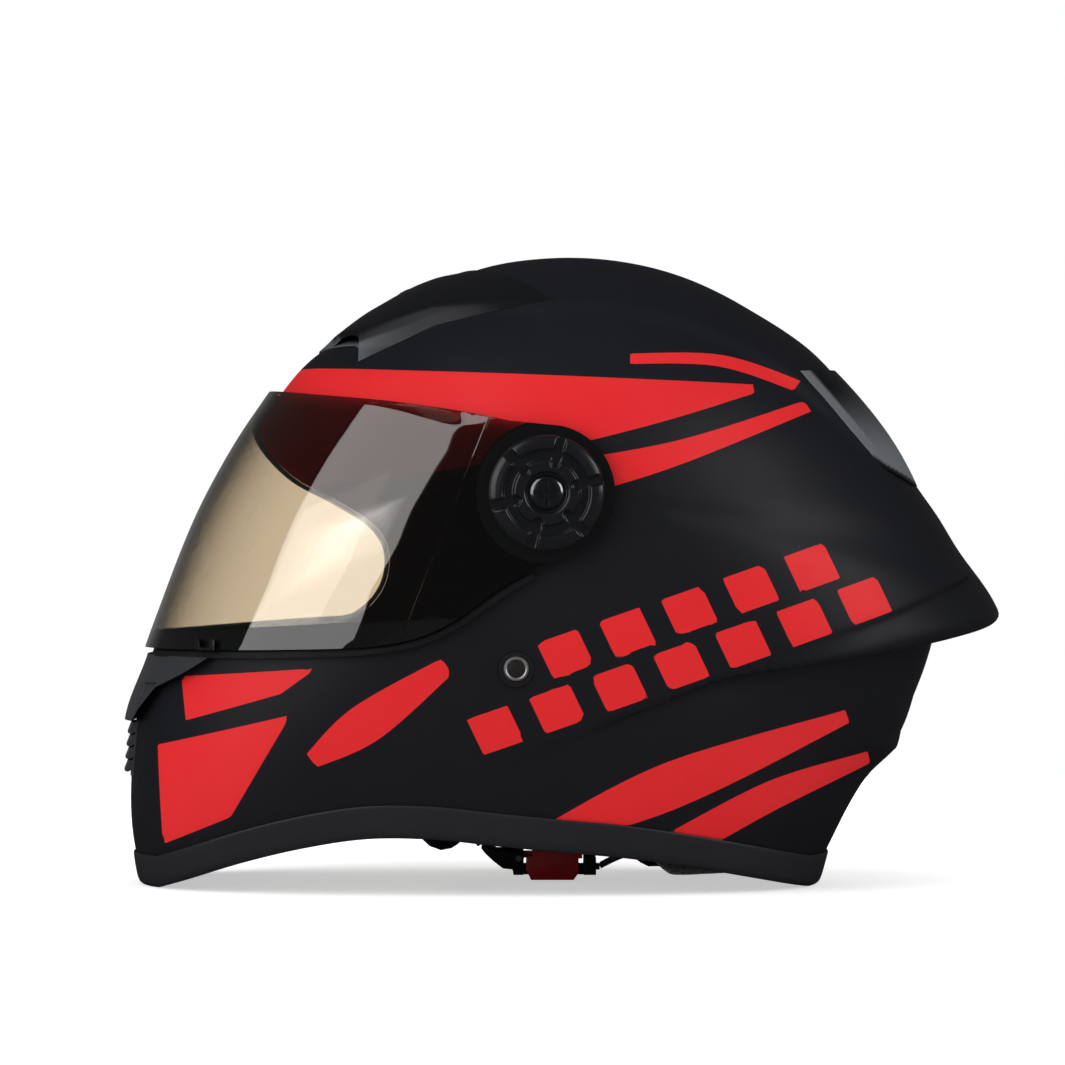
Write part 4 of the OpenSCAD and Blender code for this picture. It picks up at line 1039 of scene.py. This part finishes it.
# side and rear: how strongly the painted highlight lightens the side facet and the lower rear end
exhaust = {"line": ((93, 203), (122.5, 168)), "low": 3.2, "rise": 2.85, "wide": 4.4, "narrow": 1.0, "ductHalf": 42.0,
           "side": 0.9, "rear": 0.95, "mouth": ((122, 127, 140, 190), (168.3, 165, 158.5, 155))}


def exhaustRise(a):  # low + rise * ease(angle)
    return exhaust["low"] + exhaust["rise"] * ease(30, 6, np.where(a > 180, a - 360, a))


def exhaustFacet(y, z, a):  # from the shell's own height at the line up to the rise, over the facet's width
    (y0, z0), (y1, z1) = exhaust["line"]
    reach = ((y - y0) * -(z1 - z0) + (z - z0) * (y1 - y0)) / np.hypot(y1 - y0, z1 - z0)
    near = np.where(a > 180, a - 360, a)
    own = around(helmet["spoiler"], near) + 0.1
    return own + (exhaustRise(a) - own) * reach / (exhaust["wide"] - exhaust["narrow"] * ease(6, 26, near))


def buildExhaust():
    piece = newPiece("rearExhaustCover", *slab(
        -6, 42, 30, 150, lambda y, z, a, x: softMin(exhaustRise(a), exhaustFacet(y, z, a), 0.3), 0.1, (110, 200)))
    outline = [[93, 203], [112, 204.5], [190, 212], [190, 155], [140, 158.5], [127, 165], [122.5, 168]]
    carve(piece, prism(outline, -150, 150), "INTERSECT")
    duct = slab(-8, 26, 50, 130, lambda y, z, a, x: exhaustRise(a) - 1.6, 0.6, (60, 60))
    carveDuct(piece, duct, rectangle(60, 260, 100, 190), exhaust["ductHalf"])
    finish(piece, "ventCover", "helmet", ["rear_exhaust_cover"], bevel=0.25)
    # painted highlight on the side facet and the lower rear end, painted shadow along the rim of the mouth
    y, z = coordinates(piece.data)[:, 1:].T
    angle = polar(y, z)[0]
    side = exhaust["side"] * (1.0 - ease(-0.3, 0.3, exhaustFacet(y, z, angle) - exhaustRise(angle)))
    side = np.maximum(side, exhaust["rear"] * (1 - ease(4, 21, angle)))
    # the rim of the mouth is in shadow
    mark(piece, "facet", side * ease(1.3, 2.1, z - np.interp(y, *exhaust["mouth"])))


buildExhaust()


def buildChinHood():
    recess = np.array([[-161.5, 82.4], [-154.2, 83.0], [-157.5, 79.0], [-161.2, 74.8], [-163.0, 76.0]])

    def height(y, z, a, x):
        # a small three-cornered recess on each side
        into = insideBy(np.stack([y.ravel(), z.ravel()], -1), recess).reshape(y.shape)
        return 2.2 + 3.4 * ease(202, 208, a) - 1.9 * ease(0.0, 0.9, into)
    outline = [[-230, 92.2], [-137, 91.6], [-140, 89.5], [-147.6, 85], [-159, 79.4], [-166.5, 70.5],
               [-169.6, 65.6], [-175, 65.6], [-230, 56]]
    piece = newPiece("chinVentHood", *slab(190, 225, 14, 166, height, 0.1, (160, 300)))
    carve(piece, prism(outline, -150, 150), "INTERSECT")
    finish(piece, "vent", "helmet", ["chin_vent_hood"], bevel=0.25)


buildChinHood()

louvre = {"slats": 4, "first": 47.6, "pitch": 5.0, "half": 25.5, "frame": 2.6}
slatProfile = np.array([[-6, 2.6], [-1.5, 2.4], [1.7, 1.9], [2.9, -1.2], [3.1, -2.0], [2.9, -2.5], [2.3, -2.6],
                        [0.8, -1.8], [-1.8, -1.2], [-6, -1.0]])


def frontOf(x, z, off):  # y of the skin's front at a place seen from the front
    low, high = np.full(np.broadcast(x, z).shape, -260.0), np.full(np.broadcast(x, z).shape, -60.0)
    for _ in range(30):
        y = (low + high) / 2
        outside = fullness(x, y, z, off) > 1
        low, high = np.where(outside, y, low), np.where(outside, high, y)
    return y


def barAcross(profile, level, half, steps=40):
    # profile of (out, up) pairs carried across x, its out measured from the skin's front
    x = np.linspace(-half, half, steps)
    base = frontOf(x, level, 0.0)
    return tube(np.stack([np.broadcast_to(x[:, None], (steps, len(profile))), base[:, None] - profile[None, :, 0],
                          np.broadcast_to(level + profile[None, :, 1], (steps, len(profile)))], -1))


def buildGrille():
    # a frame in the chin opening, and slats that lean out and down
    low, high = vent["low"] + 0.3, vent["high"] - 0.3
    half = vent["half"] - 0.3
    frameSolid = newPiece("chinGrille", *hollow(skinDome(0.5), skinDome(-3.8)))
    carve(frameSolid, prism(rectangle(-230, -120, low, high), -half, half), "INTERSECT")
    edge = louvre["frame"]
    carve(frameSolid, prism(rectangle(-230, -100, low + edge, high - edge), -half + edge, half - edge))
    slats = [barAcross(slatProfile, louvre["first"] + louvre["pitch"] * k, louvre["half"])
             for k in range(louvre["slats"])]
    piece = newPiece("chinVentGrille", *joined(solidOf(frameSolid), *slats))
    bpy.data.objects.remove(frameSolid)
    finish(piece, "vent", "helmet", ["chin_vent_grille"], sharp=40)


buildGrille()
print("vents are built")

# padding
def ellipsoid(centre, size, rows=72, columns=96):  # p = centre + size * (cos t cos u, cos t sin u, sin t)
    t = np.linspace(-np.pi / 2, np.pi / 2, rows)[1:-1]
    u = np.linspace(0, 2 * np.pi, columns, endpoint=False)
    t, u = np.meshgrid(t, u, indexing="ij")
    rings = np.array(centre) + np.stack([size[0] * np.cos(t) * np.cos(u), size[1] * np.cos(t) * np.sin(u),
                                         size[2] * np.sin(t)], -1)
    return closedDome(rings, [np.array(centre) - [0, 0, size[2]], np.array(centre) + [0, 0, size[2]]])


def moveTo(mesh, points):
    mesh.vertices.foreach_set("co", (np.asarray(points, np.float32) * mm).ravel())
    mesh.update()


filling = {"quality": 4, "mass": 0.3, "use_pressure": True, "uniform_pressure_force": 4.0}


def swell(piece, voxel, most):
    # even mesh, blown up as cloth with no point moving further than most, then one subdivision
    modify(piece, "REMESH", mode="VOXEL", voxel_size=voxel * mm)
    modify(piece, "SMOOTH", factor=0.5, iterations=8)
    settle(piece)
    start = coordinates(piece.data)
    cloth = piece.modifiers.new("cloth", "CLOTH")
    for key, value in filling.items():
        setattr(cloth.settings, key, value)
    cloth.settings.effector_weights.gravity = 0
    for step in range(1, 21):
        bpy.context.scene.frame_set(step)
    settle(piece)
    bpy.context.scene.frame_set(1)
    shift = coordinates(piece.data) - start
    far = np.linalg.norm(shift, axis=1, keepdims=True)
    moveTo(piece.data, start + shift * np.minimum(1, most / np.maximum(far, 1e-6)))
    modify(piece, "SUBSURF", levels=1, render_levels=1)
    settle(piece)
    print(piece.name, len(piece.data.vertices), "points")


# the seams are stored as the distance to the nearest one, in mm, for the stitches of the material
crownPad = {"centre": (0.0, 0.0, 120.0), "outer": (85.0, 97.0, 91.0), "thick": 8.0, "radius": 88.0,
            "seamX": 30.0, "seamY": (-38.0, 44.0), "seamHalf": 6.0, "pinch": 0.7, "sewnAbove": 150.0,
            "rim": [[-150, 160], [-50, 132], [30, 124], [60, 80], [150, 80], [150, 300], [-150, 300]]}


def buildCrownPad():
    outer = np.array(crownPad["outer"])
    piece = newPiece("crownPad", *hollow(ellipsoid(crownPad["centre"], outer),
                                         ellipsoid(crownPad["centre"], outer - crownPad["thick"])))
    carve(piece, prism(crownPad["rim"], -150, 150), "INTERSECT")
    carve(piece, prism(offsetOutline(eyeport, 12.0), -150, 150))
    swell(piece, 4.0, 2.0)
    # sewn channels: both skins are drawn together along two lines from front to back and two across
    points = coordinates(piece.data)
    local = (points - np.array(crownPad["centre"])) / outer
    level = np.linalg.norm(local, axis=1)
    lines = [np.abs(np.abs(points[:, 0]) - crownPad["seamX"])]
    inside = np.abs(points[:, 0]) < crownPad["seamX"]
    lines += [np.where(inside, np.abs(points[:, 1] - y), 99) for y in crownPad["seamY"]]
    away = np.min(lines, axis=0)
    middle = 1 - 0.5 * crownPad["thick"] / crownPad["radius"]
    pinch = crownPad["pinch"] * (1 - ease(0.0, crownPad["seamHalf"], away)) * (points[:, 2] > crownPad["sewnAbove"])
    local *= ((middle + (level - middle) * (1 - pinch)) / level)[:, None]
    moveTo(piece.data, np.array(crownPad["centre"]) + local * outer)
    mark(piece, "seam", away)
    finish(piece, "cloth", "helmet", ["crown_pad"], sharp=180)


cheekPad = {"centre": (104.0, -34.0, 70.0), "size": (41.5, 51.0, 45.0), "shell": -15.0, "top": 106.5,
            "seam": 0.62, "seamScale": 46.0, "seamHalf": 5.0, "sunk": 2.0, "faceFrom": 4.0}


def buildCheekPad(side, name, node):
    centre, size = np.array(cheekPad["centre"]) * [side, 1, 1], np.array(cheekPad["size"])
    piece = newPiece(name, *ellipsoid(centre, size))
    carve(piece, skinDome(cheekPad["shell"], 160, 80), "INTERSECT")
    carve(piece, prism(rectangle(-200, 200, -50, cheekPad["top"]), -150, 150), "INTERSECT")
    swell(piece, 4.0, 2.0)
    # one seam around the face of the pad, sunk into it
    points = coordinates(piece.data)
    ring = np.hypot((points[:, 1] - centre[1]) / size[1], (points[:, 2] - centre[2]) / size[2])
    face = side * points[:, 0] < side * centre[0] - cheekPad["faceFrom"]
    away = np.where(face, np.abs(ring - cheekPad["seam"]) * cheekPad["seamScale"], 99)
    points[:, 0] += side * cheekPad["sunk"] * (1 - ease(0.0, cheekPad["seamHalf"], away))
    moveTo(piece.data, points)
    mark(piece, "seam", away)
    finish(piece, "cloth", "helmet", [node], sharp=180)


neckRoll = {"side": 76.0, "back": 90.0, "thick": 7.4, "rest": 8.5, "hang": 7.6, "from": 34.0, "to": 74.0,
            "steps": 120, "around": 24, "turn": 83.5, "seamRise": 3.0}


def rollPath(f):
    # x = side * sin^0.8, y = back * cos^0.8, z follows the trim and hangs out under it behind the ears
    x = neckRoll["side"] * np.sign(f) * np.abs(np.sin(f)) ** 0.8
    y = neckRoll["back"] * np.cos(f) ** 0.8
    gap = neckRoll["to"] - neckRoll["from"] - 6
    drop = np.maximum(0, np.minimum((y - neckRoll["from"]) * 1.2, neckRoll["hang"] * (neckRoll["to"] - y) / gap))
    return np.stack([x, y, np.maximum(neckRoll["rest"], bottomLevel(y) + 8 - drop)], -1)


def buildNeckRoll():
    f = np.radians(np.linspace(-neckRoll["turn"], neckRoll["turn"], neckRoll["steps"]))
    path = rollPath(f)
    out = np.stack([path[:, 0] / neckRoll["side"] ** 2, path[:, 1] / neckRoll["back"] ** 2, 0 * f], -1)
    out /= np.linalg.norm(out, axis=1)[:, None]
    turn = np.linspace(0, 2 * np.pi, neckRoll["around"], endpoint=False)
    size = neckRoll["thick"] * (0.55 + 0.45 * np.sqrt(1 - np.linspace(-1, 1, neckRoll["steps"]) ** 8))
    grid = path[:, None] + size[:, None, None] * (out[:, None] * np.cos(turn)[None, :, None]
                                                  + np.array([0, 0, 1]) * np.sin(turn)[None, :, None])
    piece = newPiece("neckRoll", *tube(grid))
    swell(piece, 3.5, 0.7)

    def turnOf(spots):
        return np.arctan2(spots[:, 0] / neckRoll["side"], spots[:, 1] / neckRoll["back"])
    points = coordinates(piece.data)
    inner = np.hypot(points[:, 0] / neckRoll["side"], points[:, 1] / neckRoll["back"]) < 1.0
    # the seam runs along the top of the inner side
    middle = np.interp(turnOf(points), turnOf(path), path[:, 2])
    mark(piece, "seam", np.where(inner, np.abs(points[:, 2] - middle - neckRoll["seamRise"]), 99))
    finish(piece, "mesh", "helmet", ["neck_roll"], sharp=180)


buildCrownPad()
buildCheekPad(1, "cheekPadLeft", "cheek_pad_left")
buildCheekPad(-1, "cheekPadRight", "cheek_pad_right")
buildNeckRoll()
print("padding is built")


# straps
strap = {"width": 20.0, "thick": 1.7, "hang": 101.8, "steps": 12}
leftRoute = [[strap["hang"], -17.6, 64], [strap["hang"] - 3, -19, 52], [96, -21, 36], [87, -27, 24.5], [70, -36, 23],
             [48, -45, 23.5], [28, -50, 24], [12, -49, 23.5], [3, -44, 21.5], [0, -36, 18], [0, -32.4, 14.6]]
rightRoute = [[-strap["hang"], -17.6, 64], [3 - strap["hang"], -17, 52], [-96, -14, 37], [-86, -8, 24], [-68, 4, 21],
              [-46, 20, 19], [-27, 33, 18], [-11, 38, 16], [-2, 32, 13], [0, 21.5, 9.2], [0, 15.8, 6.4]]
# the way in which the width lies at each point of a route
startWide = [[0, 1, 0], [0, 1, 0], [0, 1, 0], [0.1, 1, 0], [0.3, 1, 0], [0.4, 1, 0]]
endWide = [[-1, 0.2, 0], [-1, 0, 0], [-1, 0, 0]]
leftWide = [*startWide, [-0.1, 1, 0], [-1, 1, 0], *endWide]
rightWide = [*startWide, [0.1, 1, 0], [-0.8, 1, 0], *endWide]


def buildStrap(name, node, body, route, wide):
    # a flat section with full edges, carried along a smooth route with the width turning as it goes
    middle, across = smoothLine(route, strap["steps"]), smoothLine(wide, strap["steps"])
    along = np.gradient(middle, axis=0)
    flat = np.cross(along, across)
    flat /= np.linalg.norm(flat, axis=1)[:, None]
    across = np.cross(flat, along)
    across /= np.linalg.norm(across, axis=1)[:, None]
    half, deep = strap["width"] / 2, strap["thick"] / 2
    t = np.linspace(-1, 1, 15)
    swellEdge = deep * (0.86 + 0.14 * ease(0.80, 0.9, np.abs(t))) * np.sqrt(np.clip(1 - np.abs(t) ** 24, 0.05, 1))
    section = np.concatenate([np.stack([t * half, swellEdge], -1), np.stack([t[::-1] * half, -swellEdge[::-1]], -1)])
    grid = middle[:, None] + across[:, None] * section[None, :, :1] + flat[:, None] * section[None, :, 1:]
    piece = newPiece(name, *tube(grid))
    rows, columns = grid.shape[:2]
    length = np.concatenate([[0], np.cumsum(np.linalg.norm(np.diff(middle, axis=0), axis=1))])
    weave = np.stack([np.broadcast_to(length[:, None], (rows, columns)),
                      np.broadcast_to(section[None, :, 0], (rows, columns)), np.zeros((rows, columns))], -1)
    piece.data.attributes.new("weave", "FLOAT_VECTOR", "POINT").data.foreach_set(
        "vector", weave.astype(np.float32).ravel())
    return finish(piece, "webbing", body, [node], sharp=60)


buildStrap("strapLeft", "strap_left", "helmet", leftRoute, leftWide)
strapRight = buildStrap("strapRight", "strap_right", None, rightRoute, rightWide)
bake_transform(strapRight)


# buckle, slider and other moulded parts
def moulded(node, name, look, body, bevel):
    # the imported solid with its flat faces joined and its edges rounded
    mesh = cad[node].data.copy()
    mesh.name = name
    piece = bpy.data.objects.new(name, mesh)
    bpy.context.scene.collection.objects.link(piece)
    work = bmesh.new()
    work.from_mesh(mesh)
    bmesh.ops.remove_doubles(work, verts=work.verts, dist=0.00002)
    bmesh.ops.dissolve_limit(work, angle_limit=0.02, verts=work.verts, edges=work.edges)
    work.to_mesh(mesh)
    work.free()
    finish(piece, look, body, [node], bevel=bevel, bevelAngle=28)


moulded("buckle_frame", "buckleFrame", "inner", "helmet", 0.5)
moulded("buckle_lever", "buckleLever", "red", "release_lever", 0.45)
moulded("strap_tongue", "buckleTongue", "vent", "tongue", 0.2)

slider = {"centre": (-62.93, 236.24), "slope": 27.62, "half": 12.0, "plate": 0.45, "low": -1.8, "drop": 0.8,
          "grooves": 0.28}


def buildSlider():
    # z = plate + ridge(y) * fade(x), with five grip grooves across the ridge
    theta = np.radians(slider["slope"])
    x = np.linspace(-slider["half"], slider["half"], 97)
    y = np.array([-6, -5.8, -5.4, -4, -3, -2.4, -1.8, -1.2, -0.6, 0, 0.6, 1.2, 1.8, 2.4, 3, 4, 5.4, 5.8, 6])
    ridge = 0.5 * np.sqrt(np.clip(1 - (y / 3.0) ** 2, 0, 1))
    corner = 0.25 * ease(5.2, 6.0, np.abs(y))
    groove = (np.abs(np.mod(x + 1, 2.0) - 1) < 0.35) * (np.abs(x) < 7.5)
    fade = (1 - ease(8.4, 10.6, np.abs(x))) * (1 - slider["grooves"] * groove)
    top = slider["plate"] - corner[None] + ridge[None] * fade[:, None] - 0.25 * ease(11.2, 12.0, np.abs(x))[:, None]
    yy, xx = np.broadcast_to(y[None], top.shape), np.broadcast_to(x[:, None], top.shape)
    upper, lower = (np.stack([xx, slider["centre"][0] + yy * np.cos(theta) - zz * np.sin(theta),
                              slider["centre"][1] + yy * np.sin(theta) + zz * np.cos(theta)], -1)
                    for zz in (top - slider["drop"], np.full_like(top, slider["low"])))
    piece = newPiece("topVentSlider", *patch(upper, lower))
    finish(piece, "gloss", "vent_slider", ["top_vent_slider"], sharp=40)


buildSlider()
print("straps, buckle and slider are built")

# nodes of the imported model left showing
nodeFinish = {
    "eps_liner": "foam", "chin_foam": "foam", "pivot_plate_left": "inner", "pivot_plate_right": "inner",
    "plate_screws": "steel", "cover_nuts": "steel", "visor_hub_left": "inner", "visor_hub_right": "inner",
    "chin_vent_shutter": "inner", "rivet_washers": "inner", "strap_anchor_plates": "steel", "lever_pin": "steel",
    "lever_spring": "steel"}
for name, look in nodeFinish.items():
    mesh = cad[name].data
    mesh.materials.clear()
    mesh.materials.append(finishes[look][0])
